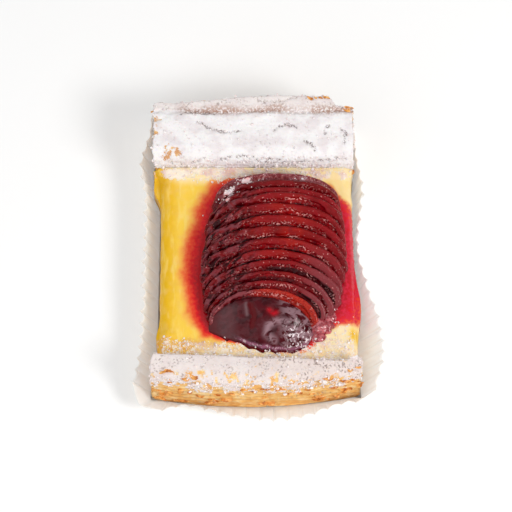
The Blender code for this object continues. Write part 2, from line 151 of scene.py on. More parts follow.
# bare baked spots: across, depth, height, radius
BARE_SPOTS = (
    (-41.0, 53.6, 28.2, 3.6), (-41.0, 48.4, 27.6, 2.8), (-35.4, 39.4, 26.7, 3.6),
    (-31.4, 39.6, 26.8, 2.4), (-41.6, 36.4, 21.0, 1.6), (34.0, 64.6, 28.0, 1.6),
    (37.8, 60.0, 27.5, 1.8), (24.0, 66.4, 28.4, 2.4), (-38.0, -61.5, 18.0, 2.6),
    (-30.0, -63.0, 20.0, 1.6), (21.0, -64.0, 20.0, 1.8), (37.0, -59.0, 22.0, 1.6),
)


# ---- numbers ---------------------------------------------------------------------------------

def ease(value):
    """Smooth step from 0 to 1."""
    value = np.clip(value, 0.0, 1.0)
    return value * value * (3.0 - 2.0 * value)


def bell(value, middle, width):
    """A Gaussian bump: 1 at the middle, 1/e at a width away from it."""
    return np.exp(-((value - middle) / width) ** 2)


def wave(share, seed):
    """A smooth uneven wave between about -1 and 1 along a share of 0 to 1: three sines."""
    return (0.55 * np.sin(2 * math.pi * (1.3 * share + 0.37 * seed))
            + 0.30 * np.sin(2 * math.pi * (2.9 * share + 0.71 * seed + 0.2))
            + 0.15 * np.sin(2 * math.pi * (6.1 * share + 0.53 * seed + 0.6)))


def lattice(cells, seed):
    """A fixed random number from 0 to 1 for each whole-number cell: its bits, mixed."""
    mixed = (cells[..., 0] * 73856093) ^ (cells[..., 1] * 19349663) ^ (cells[..., 2] * 83492791)
    mixed = (mixed ^ (seed * 40503 + 977)) & 0xFFFFFFFF
    mixed = ((mixed ^ (mixed >> 15)) * 2246822519) & 0xFFFFFFFF
    mixed = ((mixed ^ (mixed >> 13)) * 3266489917) & 0xFFFFFFFF
    return ((mixed ^ (mixed >> 16)) & 0xFFFFFF) / 0xFFFFFF


def lumps(points, size, seed):
    """Value noise from -1 to 1: the corners of each cell, blended by smooth steps."""
    at = points / size
    cell = np.floor(at).astype(np.int64)
    part = at - cell
    part = part * part * (3.0 - 2.0 * part)
    total = np.zeros(points.shape[:-1])
    for corner in np.ndindex(2, 2, 2):
        share = np.prod(np.where(corner, part, 1.0 - part), axis=-1)
        total += share * lattice(cell + corner, seed)
    return 2.0 * total - 1.0


def rough(points, size, octaves, seed):
    """Fractal noise from -1 to 1: octaves of value noise, each half as large and as strong."""
    size = np.asarray(size, dtype=float)
    total, weight = np.zeros(points.shape[:-1]), 0.0
    for octave in range(octaves):
        total += lumps(points, size / 2 ** octave, seed + octave) / 2 ** octave
        weight += 1 / 2 ** octave
    return total / weight


def axes(points):
    """The across, the depth and the height of points, each in an array of its own."""
    return np.moveaxis(points, -1, 0)


def near_path(across, other, path, width):
    """1 on a path of straight runs, falling to 0 beside it as a Gaussian of the width."""
    gap = np.full(across.shape, np.inf)
    for (x0, y0), (x1, y1) in zip(path, path[1:]):
        run = (x1 - x0) ** 2 + (y1 - y0) ** 2
        part = np.clip(((across - x0) * (x1 - x0) + (other - y0) * (y1 - y0)) / run, 0, 1)
        reach = np.hypot(across - x0 - part * (x1 - x0), other - y0 - part * (y1 - y0))
        gap = np.minimum(gap, reach)
    return bell(gap, 0.0, width)


def inside(across, depth, outline):
    """True where a point of the plan lies inside a closed outline, by the even-odd rule."""
    crossed = np.zeros(across.shape, dtype=bool)
    for (x0, y0), (x1, y1) in zip(outline, outline[1:] + outline[:1]):
        if y0 == y1:
            continue
        between = (depth > y0) != (depth > y1)
        crossed ^= between & (across < x0 + (depth - y0) * (x1 - x0) / (y1 - y0))
    return crossed


def plan_distance(across, depth, outline):
    """Distance in plan to a closed outline, negative inside it, read back from a wide bell."""
    near = near_path(across, depth, outline + outline[:1], PLAN_WIDTH)
    gap = PLAN_WIDTH * np.sqrt(-np.log(np.clip(near, 1e-9, 1.0)))
    return np.where(inside(across, depth, outline), -gap, gap)


def drawing_origin():
    """Where the drawing's origin stands in the frame, found from two of the solids."""
    low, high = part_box("fruit_slice_07")
    middle = (FAN_LEFT[2] + FAN_RIGHT[2]) / 2
    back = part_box("custard")[1][1] / MM
    return np.array([(low[0] + high[0]) / 2 / MM - middle, back - (BACK_INNER - GAP), 0.0])


ORIGIN = drawing_origin()


# ---- meshes ----------------------------------------------------------------------------------

def resample(keys, spacing):
    """Closed outlines (stations, points, 2) at an even spacing along their average outline."""
    closed = np.concatenate([keys, keys[:, :1]], axis=1)
    steps = np.linalg.norm(np.diff(closed.mean(axis=0), axis=0), axis=1)
    length = np.concatenate([[0.0], np.cumsum(steps)])
    at = np.arange(0.0, length[-1], spacing)
    first = np.searchsorted(length, at, side="right") - 1
    part = ((at - length[first]) / steps[first])[None, :, None]
    even = closed[:, first] + part * (closed[:, first + 1] - closed[:, first])
    for _ in range(3):
        even = 0.5 * even + 0.25 * (np.roll(even, 1, axis=1) + np.roll(even, -1, axis=1))
    return even


def normals(rings):
    """Unit normals of closed rings: the cross product of the tangents round and along them."""
    along = np.gradient(rings, axis=0)
    around = np.roll(rings, -1, axis=1) - np.roll(rings, 1, axis=1)
    out = np.cross(around, along)
    out /= np.linalg.norm(out, axis=-1, keepdims=True) + 1e-12
    return out * np.sign(((rings - rings.mean(axis=(0, 1))) * out).sum())


def ring_faces(rings, count, closed):
    """Quads between neighbouring rings of points, and the triangles that meet at each pole."""
    ring, step = np.meshgrid(np.arange(rings - 1), np.arange(count), indexing="ij")
    after = (step + 1) % count
    quads = np.stack([ring * count + step, ring * count + after,
                      (ring + 1) * count + after, (ring + 1) * count + step], axis=-1)
    faces = quads.reshape(-1, 4).tolist()
    around = np.arange(count)
    first, last = rings * count, (rings - 1) * count
    if closed == "pole":
        fan = [(around + 1) % count, around, np.full(count, first)]
        faces += np.stack(fan, axis=1).tolist()
        fan = [last + around, last + (around + 1) % count, np.full(count, first + 1)]
        faces += np.stack(fan, axis=1).tolist()
    else:
        faces += [around[::-1].tolist(), (last + around).tolist()]
    return faces


def signed_volume(points, faces):
    """Volume inside a closed mesh, negative where its faces point inwards."""
    corners = [face[:3] for face in faces]
    corners += [(face[0], face[2], face[3]) for face in faces if len(face) == 4]
    triples = np.array(corners)
    a, b, c = (points[triples[:, k]] for k in range(3))
    return (a * np.cross(b, c)).sum()


def add_piece(name, points, faces, finish, replaced=(), values=None, smooth=True):
    """A mesh object from points in millimetres, placed in the frame and attached to the root body.
    """
    if signed_volume(points, [face for face in faces if len(face) < 5]) < 0:
        faces = [face[::-1] for face in faces]
    mesh = bpy.data.meshes.new(name)
    mesh.from_pydata(((points + ORIGIN) * MM).tolist(), [], faces)
    for label, value in (values or {}).items():
        layer = mesh.attributes.new(label, "FLOAT", "POINT")
        layer.data.foreach_set("value", np.asarray(value, dtype=np.float32).ravel())
    mesh.update()
    if smooth:
        mesh.shade_smooth()
    mesh.materials.append(finish)
    piece = bpy.data.objects.new(name, mesh)
    bpy.context.scene.collection.objects.link(piece)
    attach(piece, BODY)
    if replaced:
        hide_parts(*replaced)
    return piece


def skin(name, rings, finish, replaced=(), values=None, closed="pole"):
    """A closed surface over rings of points, its two ends closed at a pole or by a flat face."""
    count = rings.shape[1]
    points = rings.reshape(-1, 3)
    values = {label: np.broadcast_to(value, rings.shape[:2]) for label, value
              in (values or {}).items()}
    if closed == "pole":
        points = np.vstack([points, rings[0].mean(axis=0), rings[-1].mean(axis=0)])
        values = {label: np.concatenate([value.ravel(), [value[0].mean(), value[-1].mean()]])
                  for label, value in values.items()}
    faces = ring_faces(len(rings), count, closed)
    return add_piece(name, points, faces, finish, replaced, values)


# ---- finishes --------------------------------------------------------------------------------

def linear(red, green, blue):
    """A colour given in the usual 0 to 255 of a screen, as linear values."""
    shares = (red / 255, green / 255, blue / 255)
    return tuple(c / 12.92 if c <= 0.04045 else ((c + 0.055) / 1.055) ** 2.4 for c in shares)


class Nodes:
    """Short calls that add nodes to one tree; each returns the output that matters."""

    def __init__(self, tree, place=None):
        """Its textures follow the piece's own coordinates where no place is given."""
        self.tree = tree
        self.place = place or self.add("ShaderNodeTexCoord", {}, "Object")

    def fill(self, made, inputs):
        """Set a node's inputs, each to a value or to another node's output."""
        for label, value in inputs.items():
            socket = made.inputs[label]
            if isinstance(value, bpy.types.NodeSocket):
                self.tree.links.new(value, socket)
            elif hasattr(value, "__len__") and len(value) < len(socket.default_value):
                socket.default_value = (*value, 1.0)
            else:
                socket.default_value = value

    def add(self, kind, inputs, out=0, **settings):
        """A node with its settings and its inputs."""
        made = self.tree.nodes.new(kind)
        for name, value in settings.items():
            setattr(made, name, value)
        self.fill(made, inputs)
        return made.outputs[out]

    def group(self, tree, inputs):
        """A node group with its inputs; returns all its outputs by name."""
        made = self.tree.nodes.new("ShaderNodeGroup")
        made.node_tree = tree
        self.fill(made, inputs)
        return made.outputs

    def value(self, name):
        """A value that the mesh carries at its points."""
        return self.add("ShaderNodeAttribute", {}, "Fac", attribute_name=name)

    def noise(self, size, detail=2.0, stretch=None, distortion=0.0):
        """Noise from 0 to 1 with lumps of a size in millimetres, stretched along the axes."""
        place = self.place
        if stretch:
            place = self.add("ShaderNodeMapping", {"Vector": place, "Scale": stretch})
        return self.add("ShaderNodeTexNoise", {
            "Vector": place, "Scale": 1.0 / (size * MM), "Detail": detail,
            "Distortion": distortion})

    def span(self, value, low, high, to_low=0.0, to_high=1.0):
        """A value carried smoothly from one span to another."""
        return self.add("ShaderNodeMapRange", {
            "Value": value, "From Min": low, "From Max": high, "To Min": to_low,
            "To Max": to_high}, interpolation_type="SMOOTHSTEP")

    def math(self, operation, *values, clamp=True):
        """One operation on values, kept between 0 and 1 if it is clamped."""
        return self.add("ShaderNodeMath", dict(enumerate(values)), operation=operation,
                        use_clamp=clamp)

    def times(self, first, second):
        """The product of two values, kept between 0 and 1."""
        return self.math("MULTIPLY", first, second)

    def broken(self, name, texture, low, high, to_low=0.0, to_high=1.0):
        """A value of the mesh, broken up by a span of a texture."""
        return self.times(self.value(name), self.span(texture, low, high, to_low, to_high))

    def mix(self, share, first, second):
        """Two colours mixed by a share."""
        return self.add("ShaderNodeMix", {0: share, 6: first, 7: second}, 2, data_type="RGBA")

    def over(self, color, *layers):
        """A colour under layers of (share, colour), the first of them lowest."""
        for share, shade in layers:
            color = self.mix(share, color, shade)
        return color

    def ramp(self, value, *stops):
        """A colour from a row of (place, colour) stops."""
        output = self.add("ShaderNodeValToRGB", {"Fac": value})
        row = output.node.color_ramp.elements
        while len(row) < len(stops):
            row.new(1.0)
        for element, (at, shade) in zip(row, stops):
            element.position = at
            element.color = (*shade, 1.0)
        return output

    def bump(self, height, depth, strength=1.0, under=None):
        """A bumped normal; depth is in millimetres."""
        inputs = {"Strength": strength, "Distance": depth * MM, "Height": height}
        if under:
            inputs["Normal"] = under
        return self.add("ShaderNodeBump", inputs)


def new_finish(name, links, **sockets):
    """A Principled material: links(nodes) gives the sockets that vary, sockets the plain ones."""
    made = bpy.data.materials.new(name)
    made.use_nodes = True
    nodes = Nodes(made.node_tree)
    shader = made.node_tree.nodes["Principled BSDF"]
    for label, value in sockets.items():
        shader.inputs[label.replace("_", " ")].default_value = value
    for label, output in links(nodes).items():
        made.node_tree.links.new(output, shader.inputs[label])
    return made


def powder_group():
    """Powdered sugar over a colour: grains break up its edge, and it clumps where it is thick."""
    found = bpy.data.node_groups.get("powdered_sugar")
    if found:
        return found
    tree = bpy.data.node_groups.new("powdered_sugar", "ShaderNodeTree")
    for side, sockets in (("INPUT", (("Vector", "Vector"), ("Cover", "Float"), ("Under", "Color"),
                                     ("Sugar", "Color"), ("Shade", "Color"))),
                          ("OUTPUT", (("Color", "Color"), ("Mask", "Float"),
                                      ("Height", "Float")))):
        for label, kind in sockets:
            tree.interface.new_socket(label, in_out=side, socket_type=f"NodeSocket{kind}")
    entry = tree.nodes.new("NodeGroupInput").outputs
    nodes = Nodes(tree, entry["Vector"])
    grain = nodes.noise(0.45, 3.0)
    clump = nodes.noise(2.2, 3.0)
    cloud = nodes.noise(7.0, 3.0)
    broken = nodes.math("ADD", grain, clump, clamp=False)
    broken = nodes.math("MULTIPLY_ADD", entry["Cover"], 1.6, broken, clamp=False)
    mask = nodes.span(broken, 1.66, 1.96)
    tone = nodes.mix(nodes.span(cloud, 0.42, 0.66), entry["Sugar"], entry["Shade"])
    nodes.fill(tree.nodes.new("NodeGroupOutput"), {
        "Color": nodes.mix(mask, entry["Under"], tone), "Mask": mask,
        "Height": nodes.times(mask, nodes.span(grain, 0.2, 0.8, 0.3, 1.0))})
    return tree


def sugared(nodes, cover, under, sugar, shade):
    """Powdered sugar over a colour, by a value of the mesh: its colour, mask and height."""
    return nodes.group(powder_group(), {"Vector": nodes.place, "Cover": nodes.value(cover),
                                        "Under": under, "Sugar": sugar, "Shade": shade})


def pastry_finish(settings):
    """Baked leaves, golden to brown, with painted shade darkening the creases, under powdered
    sugar.
    """
    def links(nodes):
        streak = nodes.noise(1.5, 4.0, stretch=(0.6, 0.6, 1.3))
        patch = nodes.noise(3.6, 4.0)
        fine = nodes.noise(0.55, 2.0)
        speckle = nodes.noise(0.9, 4.0)
        cluster = nodes.span(nodes.noise(4.5, 3.0), 0.46, 0.60, 0.1, 1.0)
        baked = nodes.math("ADD", nodes.span(patch, 0.3, 0.7, 0.0, 0.62),
                           nodes.span(streak, 0.35, 0.65, 0.0, 0.38))
        crust = nodes.ramp(baked, (0.0, settings.butter), (0.45, settings.crust),
                           (1.0, settings.browned))
        # painted shade: the crease colour darkens the hollows between the leaves
        crust = nodes.over(crust, (nodes.value("crease"), settings.crease),
                           (nodes.broken("bare", patch, 0.35, 0.6, 0.3), settings.toasted))
        sugar = sugared(nodes, "sugar", crust, settings.sugar, settings.sugar_shade)
        # real specks and thin sugar at the front; behind the groove, painted shade on the rear
        # leaf
        thin = nodes.times(nodes.times(nodes.value("fleck"), 0.75), sugar["Mask"])
        fleck = nodes.times(nodes.times(nodes.value("fleck"), cluster), sugar["Mask"])
        color = nodes.over(
            sugar["Color"], (nodes.broken("groove", speckle, 0.34, 0.56), settings.groove),
            # painted shade: grey inside the real cracks and pits of the sugar
            (nodes.broken("crack", fine, 0.38, 0.58), settings.crack), (thin, settings.dull),
            (nodes.times(fleck, nodes.span(speckle, 0.50, 0.66)), settings.fleck))
        flaky = nodes.bump(streak, 0.35, 0.8)
        return {"Base Color": color,
                "Roughness": nodes.span(sugar["Mask"], 0.0, 1.0, 0.48, 0.95),
                "Normal": nodes.bump(sugar["Height"], 0.14, 0.7, flaky)}
    return new_finish("sugared_pastry", links, Subsurface_Weight=0.08,
                      Subsurface_Radius=(0.9, 0.6, 0.35), Subsurface_Scale=0.0015)


def cream_finish(settings):
    """Baked pastry cream: yellow with paler streaks, stained by the juice, dusted with sugar."""
    def links(nodes):
        streak = nodes.noise(2.2, 3.0, stretch=(1.0, 0.22, 1.0))
        wander = nodes.noise(1.4, 4.0)
        juice = nodes.math("ADD", nodes.value("juice"),
                           nodes.broken("juice", wander, 0.3, 0.7, 0.0, 0.2))
        stain = nodes.ramp(juice, (0.0, settings.blush), (0.56, settings.bleed),
                           (0.76, settings.juice), (1.0, settings.juice_dark))
        rosy = nodes.broken("rosy", wander, 0.35, 0.65, 0.15, 0.95)
        cream = nodes.mix(nodes.value("edge"), settings.middle, settings.edge)
        cream = nodes.over(
            cream, (nodes.span(streak, 0.5, 0.7, 0.0, 0.45), settings.streak),
            (nodes.value("pale"), settings.pale),
            (nodes.broken("baked", nodes.noise(1.2, 3.0), 0.3, 0.6), settings.baked),
            (nodes.span(juice, -0.04, 0.50), nodes.mix(rosy, stain, settings.rose)))
        sugar = sugared(nodes, "sugar", cream, settings.dust, settings.dust_shade)
        wet = nodes.span(nodes.value("juice"), 0.2, 0.9, 0.34, 0.12)
        fine = nodes.bump(nodes.noise(0.7, 3.0), 0.09, 0.5)
        return {"Base Color": sugar["Color"],
                "Roughness": nodes.math("MULTIPLY_ADD", sugar["Mask"], 0.55, wet, clamp=False),
                "Normal": nodes.bump(sugar["Height"], 0.16, 0.8, fine)}
    return new_finish("pastry_cream", links, Subsurface_Weight=0.18,
                      Subsurface_Radius=(1.0, 0.6, 0.2), Subsurface_Scale=0.0015,
                      Specular_IOR_Level=0.25, Coat_Weight=0.06, Coat_Roughness=0.2)


def flesh_finish(settings):
    """Poached fruit flesh: a satin rim under painted mauve and grey sheen, deep wine in the wet
    creases, painted pink glints and fine sugar.
    """
    def links(nodes):
        grain = nodes.noise(0.55, 4.0)
        cloud = nodes.noise(3.6, 3.0, distortion=0.6)
        speck = nodes.noise(0.8, 1.0)
        deep = nodes.mix(nodes.span(grain, 0.35, 0.7), settings.crevice, settings.wine)
        dull = nodes.math("ADD", nodes.span(cloud, 0.36, 0.66, 0.0, 0.6),
                          nodes.times(nodes.value("tone"), 0.5))
        rim = nodes.mix(dull, settings.rim, settings.rim_dark)
        # painted sheen: a grey reflection on the wrinkled rims at the left
        rim = nodes.over(rim, (nodes.broken("left", cloud, 0.62, 0.40), settings.rim_grey_sheen),
                         (nodes.broken("glow", cloud, 0.3, 0.6), settings.rim_warm))
        edge = nodes.math("ADD", nodes.value("rim"), nodes.span(grain, 0.3, 0.7, -0.2, 0.2))
        # painted highlights: pink glints along the inner edge of each rim, and scattered specks
        glint_specks = nodes.math("MAXIMUM", nodes.broken("beads", speck, 0.53, 0.61),
                              nodes.span(speck, 0.70, 0.76, 0.0, 0.5))
        color = nodes.over(
            deep, (nodes.broken("glow", cloud, 0.35, 0.6), settings.bright),
            (nodes.span(edge, 0.2, 0.8), rim),
            (nodes.broken("warm", grain, 0.36, 0.62, 0.0, 0.9), settings.amber),
            # painted sheen: mauve over the broad rims
            (nodes.value("mauve"), settings.mauve), (nodes.value("shadow"), settings.black),
            (glint_specks, settings.speck))
        frost = sugared(nodes, "frost", color, settings.frost, settings.speck)
        coarse = nodes.bump(nodes.noise(1.6, 3.0), 0.30, 0.35)
        glint = nodes.bump(grain, 0.12, 0.5, nodes.bump(speck, 0.3, 0.5, coarse))
        return {"Base Color": frost["Color"], "Normal": glint,
                "Roughness": nodes.span(nodes.value("rim"), 0.0, 1.0, 0.22, 0.42)}
    return new_finish("poached_fruit", links, Subsurface_Weight=0.08,
                      Subsurface_Radius=(1.0, 0.1, 0.08), Subsurface_Scale=0.0015,
                      Specular_IOR_Level=0.12, Coat_Weight=0.13, Coat_Roughness=0.08)


def skin_finish(settings):
    """Glazed end of the fruit: dark plum with wine streaks under a clear coat, with painted milky
    reflections, a painted grey sheen, sugar and painted white glints.
    """
    def links(nodes):
        cloud = nodes.noise(5.0, 4.0, distortion=1.2)
        veins = nodes.noise(3.0, 3.0, stretch=(1.0, 1.6, 0.6), distortion=0.8)
        speck = nodes.noise(1.3, 3.0, distortion=0.9)
        # painted reflection: milky on the right of the end piece and along the swirl
        painted_reflection = nodes.math("MAXIMUM", nodes.broken("cloudy", veins, 0.42, 0.58),
                          nodes.broken("swirl", veins, 0.30, 0.50))
        color = nodes.mix(nodes.span(cloud, 0.42, 0.62), settings.plum, settings.plum_dark)
        color = nodes.over(
            # painted sheen: grey from the grey value
            color, (painted_reflection, settings.milky_reflection), (nodes.value("grey"), settings.slate),
            (nodes.value("wine"), settings.crevice), (nodes.value("bright"), settings.notch),
            (nodes.value("line"), settings.lilac),
            # sugar, and painted white glints at the lower right
            (nodes.broken("frost", speck, 0.54, 0.62), settings.frost))
        ripple = nodes.bump(cloud, 0.5, 0.5)
        return {"Base Color": color, "Normal": nodes.bump(veins, 0.25, 0.45, ripple),
                "Roughness": nodes.span(veins, 0.4, 0.7, 0.10, 0.24)}
    return new_finish("fruit_skin", links, Subsurface_Weight=0.06,
                      Subsurface_Radius=(1.0, 0.2, 0.2), Subsurface_Scale=0.0015,
                      Specular_IOR_Level=0.06, Coat_Weight=0.18, Coat_Roughness=0.07)


def paper_finish(settings):
    """Greaseproof paper: cream, thin and a little shiny, darker where butter has soaked in, with
    painted highlights on the pleat tips and painted shade in their hollows.
    """
    def links(nodes):
        fibre = nodes.noise(0.5, 4.0)
        blot = nodes.noise(7.0, 3.0)
        soaked = nodes.broken("soaked", blot, 0.3, 0.65)
        color = nodes.mix(nodes.span(blot, 0.35, 0.7), settings.paper, settings.paper_shade)
        color = nodes.over(color, (soaked, settings.grease),
                           # painted shade in the pleat hollows and painted highlight on the pleat
                           # tips
                           (nodes.value("valley"), settings.valley),
                           (nodes.value("ridge"), settings.ridge))
        return {"Base Color": color, "Normal": nodes.bump(fibre, 0.05, 0.5),
                "Roughness": nodes.span(soaked, 0.0, 1.0, 0.55, 0.36)}
    return new_finish("case_paper", links, Subsurface_Weight=0.9,
                      Subsurface_Radius=(1.0, 0.95, 0.9), Subsurface_Scale=0.004)


def grain_finish(settings):
    """A clump of powdered sugar: white, dull, a little damp and grey in places."""
    def links(nodes):
        cloud = nodes.noise(1.2, 3.0)
        return {"Base Color": nodes.mix(nodes.span(cloud, 0.35, 0.65), settings.grain,
                                        settings.grain_shade),
                "Roughness": nodes.span(cloud, 0.3, 0.7, 0.65, 0.9),
                "Normal": nodes.bump(nodes.noise(0.2, 3.0), 0.06, 0.6)}
    return new_finish("powdered_sugar", links, Subsurface_Weight=0.3,
                      Subsurface_Radius=(1.0, 0.9, 0.9), Subsurface_Scale=0.0006)


def flake_finish(settings):
    """A loose baked leaf: orange brown and glossy with butter, darker in places."""
    def links(nodes):
        cloud = nodes.noise(1.6, 4.0)
        color = nodes.ramp(nodes.span(cloud, 0.3, 0.7), (0.0, settings.flake_pale),
                           (0.5, settings.flake), (1.0, settings.flake_dark))
        return {"Base Color": color, "Roughness": nodes.span(cloud, 0.3, 0.7, 0.32, 0.6),
                "Normal": nodes.bump(nodes.noise(0.5, 4.0), 0.12, 0.7)}
    return new_finish("baked_flake", links, Coat_Weight=0.15)


def glaze_finish(settings):
    """Set jelly glaze coloured by the juice: clear, wet and full of small lumps."""
    def links(nodes):
        cloud = nodes.noise(1.5, 3.0)
        return {"Base Color": nodes.mix(nodes.span(cloud, 0.4, 0.62), settings.glaze,
                                        settings.glaze_pale),
                "Roughness": nodes.span(cloud, 0.3, 0.7, 0.08, 0.25),
                "Normal": nodes.bump(nodes.noise(0.8, 3.0), 0.25, 0.8)}
    return new_finish("jelly_glaze", links, Subsurface_Weight=0.5,
                      Subsurface_Radius=(1.0, 0.3, 0.3), Subsurface_Scale=0.002,
                      Coat_Weight=1.0, Coat_Roughness=0.04)


def floor_finish(settings):
    """A matt pale table top with a very fine grain."""
    def links(nodes):
        return {"Roughness": nodes.span(nodes.noise(0.8, 3.0), 0.3, 0.7, 0.7, 0.8)}
    return new_finish("pale_floor", links, Base_Color=(*settings.floor, 1.0),
                      Specular_IOR_Level=0.1)


# ---- pastry ----------------------------------------------------------------------------------

def waist(depth):
    """How far the cut sides are drawn in: 1 between the borders, little at them."""
    reach = 9.0
    return ease((depth - FRONT_INNER) / reach + 0.3) * ease((BACK_INNER - depth) / reach + 0.3)


def front_inner(share):
    """Inner face of the front border at a share of its width."""
    return FRONT_INNER - FRONT_SKEW * (2.0 * share - 1.0)


def left_side(depth):
    """Where the cut left side stands, by depth."""
    return BORDER_LEFT + WAIST_LEFT * waist(depth)


def right_side(depth):
    """Where the cut right side stands, by depth."""
    share = (BACK_FACE - depth) / (BACK_FACE - FRONT_FACE)
    edge = BORDER_RIGHT_BACK + (BORDER_RIGHT_FRONT - BORDER_RIGHT_BACK) * share
    return edge - WAIST_RIGHT * waist(depth)


def broken_off(share):
    """1 at the right end of the back border, where the rear leaf has broken off."""
    return ease((share - BREAK_AT) / BREAK_RUN)


def back_face(share):
    """Rear face of the back border: a bow, with a drawn out left corner and the break."""
    bow = 0.5 - (share / BACK_BOW_AT - 1.0) ** 2
    corner = CORNER_DRAWN * ease(1.0 - share / CORNER_RUN)
    return BACK_FACE + BACK_BOW * bow + corner - (BACK_BREAK + BREAK_EXTRA) * broken_off(share)


def front_face(share):
    """Outer face of the front border: a bow."""
    return FRONT_FACE + FRONT_BOW * (2.0 * share - 0.92) ** 2


def outline(share, keys):
    """Outlines (stations, points, 2) from (depth, height) keys, each a number or one a station."""
    return np.stack([np.stack([np.broadcast_to(value, share.shape) for value in key], axis=-1)
                     for key in keys], axis=1)


def back_profile(share):
    """Outline of the back border: steep inner face, sugared top, groove, curled rear leaf."""
    bow = 1.0 - (share / BACK_BOW_AT - 1.0) ** 2
    broken, back = broken_off(share), back_face(share)
    tall = BACK_TOP + TOP_WAVE * wave(share, 9)
    rear = tall - LIP_DROP * (1 - broken) + TOP_WAVE * wave(share, 18)
    curl = LIP_RISE * bow * (1 - broken)
    deep = GROOVE_DEPTH * (0.62 + 0.38 * wave(3.0 * share, 17))
    groove = GROOVE + 0.6 * wave(2.0 * share, 21) + 0.5 * wave(5.0 * share, 22)
    return outline(share, (
        (BACK_INNER, BASE), (BACK_INNER, CREAM_TOP), (BACK_INNER + 0.4, tall - 5.2),
        (BACK_INNER + 0.9, tall - 3.6 + 0.3 * wave(share, 10)), (BACK_INNER + 1.9, tall - 2.1),
        (BACK_INNER + 3.6, tall - 0.8), (BACK_INNER + 6.0, tall - 0.1),
        (46.5, tall + TOP_WAVE * wave(share, 13)), (52.0, tall + TOP_WAVE * wave(share, 14)),
        (groove - 2.0, tall + 0.4 * TOP_WAVE * wave(share, 15)), (groove - 0.9, tall - 0.5),
        (groove - 0.1, tall - deep), (groove + 0.5, tall - deep),
        (groove + 1.1, rear + 0.1 + 0.5 * curl), ((groove + back) / 2 + 0.4, rear + 0.9 * curl),
        (back - 0.7, rear + curl), (back - 0.1, rear - 0.4 + curl), (back - 0.2, rear - 2.2),
        (back - 0.4, 12.0), (back - 0.5, BASE),
    ))


def front_profile(share):
    """Outline of the front border: crust below, a rounded clumpy edge, a crisp inner edge."""
    front, inner = front_face(share), front_inner(share)
    top = FRONT_TOP + TOP_WAVE * wave(share, 3)
    return outline(share, (
        (front - 0.3, BASE), (front - 0.5, 5.0), (front, 12.0), (front + 0.2, top - 5.5),
        (front + 0.9, top - 3.3), (front + 2.3, top - 1.5), (front + 4.4, top - 0.5),
        (front + 7.5, top + 0.3 * wave(share, 5)), (inner - 1.2, top + 0.3 * wave(share, 6)),
        (inner - 0.1, top - 0.1), (inner, top - 1.2), (inner, CREAM_TOP), (inner, BASE),
    ))


def foot_inset(height):
    """How far the cut sides draw in towards the sole."""
    return ease(1.0 - (height - BASE) / CUT_FOOT)


def leaves(points, pitch, seed):
    """Relief and creases of stacked leaves, each 0 to 1.

    The height in whole leaves, bent by noise, gives the leaf; each leaf juts out by its own
    noise along the side and rounds off to the crease above and below it as a sine.
    """
    plan = points * (1.0, 1.0, 0.0)
    level = points[..., 2] / pitch + 1.0 * rough(plan, 9.0, 3, seed)
    leaf = np.floor(level)
    reach = 0.5 + 0.5 * rough(plan + leaf[..., None] * 37.0, 8.0, 3, seed + 5)
    edge = np.sin(math.pi * (level - leaf)) ** 0.6
    return reach * edge, (1.0 - edge) * (0.4 + 0.6 * reach)


def cracks(points):
    """How far the sugar is cracked or pitted, 0 to 1.

    Along the paths, and rarely anywhere else, it breaks up into small pits where a fine noise
    is high.
    """
    x, y, z = axes(points)
    across, depth = x + 0.9 * rough(points, 3.0, 3, 61), y + 0.9 * rough(points, 2.2, 3, 67)
    height = z + 0.6 * rough(points, 2.0, 3, 71)
    total = np.zeros(across.shape)
    for path in TOP_CRACKS:
        total = np.maximum(total, near_path(across, depth, path, CRACK_WIDTH))
    low = y < BACK_INNER + 5.5
    for path in FACE_CRACKS:
        total = np.maximum(total, 0.85 * low * near_path(across, height, path, FACE_CRACK_WIDTH))
    grain = rough(points, 1.0, 2, 73)
    total = total * (y > 0)
    broken = ease((total + 0.9 * grain - 0.46) / 0.5) * ease(total * 4.0)
    many = (0.10 + 0.14 * ease((x + 10.0) / 30.0)) * (y < 0)
    pits = 0.6 * ease((grain + 0.45 * rough(points, 5.0, 2, 77) + many - 0.66) / 0.2)
    return np.clip(np.maximum(broken, pits), 0, 1)


def groove_share(points):
    """How bare the groove in front of the rear leaf is, and the leaf behind it in spots.

    It is a band of uneven width that wanders, comes and goes, and fades at the left end.
    """
    x, y, _ = axes(points)
    bend = 0.9 * rough(points, (8.0, 30.0, 30.0), 3, 78)
    wide = 1.6 + 0.8 * rough(points, (6.0, 30.0, 30.0), 3, 79)
    band = bell(y + bend, GROOVE + 0.7, wide)
    band = band * (0.45 + 0.9 * ease(0.5 + 1.3 * rough(points, (7.0, 30.0, 30.0), 3, 82)))
    rear = 0.5 * ease((y - GROOVE) / 1.0) * ease(rough(points, 5.0, 4, 80))
    return np.clip(band * ease((x + 38.0) / 16.0) + rear, 0, 1)


def bare_spots(points):
    """1 in the middle of each baked spot that the sugar has left bare, 0 outside."""
    total = np.zeros(points.shape[:-1])
    for across, depth, height, radius in BARE_SPOTS:
        gap = np.linalg.norm(points - (across, depth, height), axis=-1) / radius
        total = np.maximum(total, ease(1.3 - gap + 0.9 * rough(points, 1.6, 3, 31)))
    return total


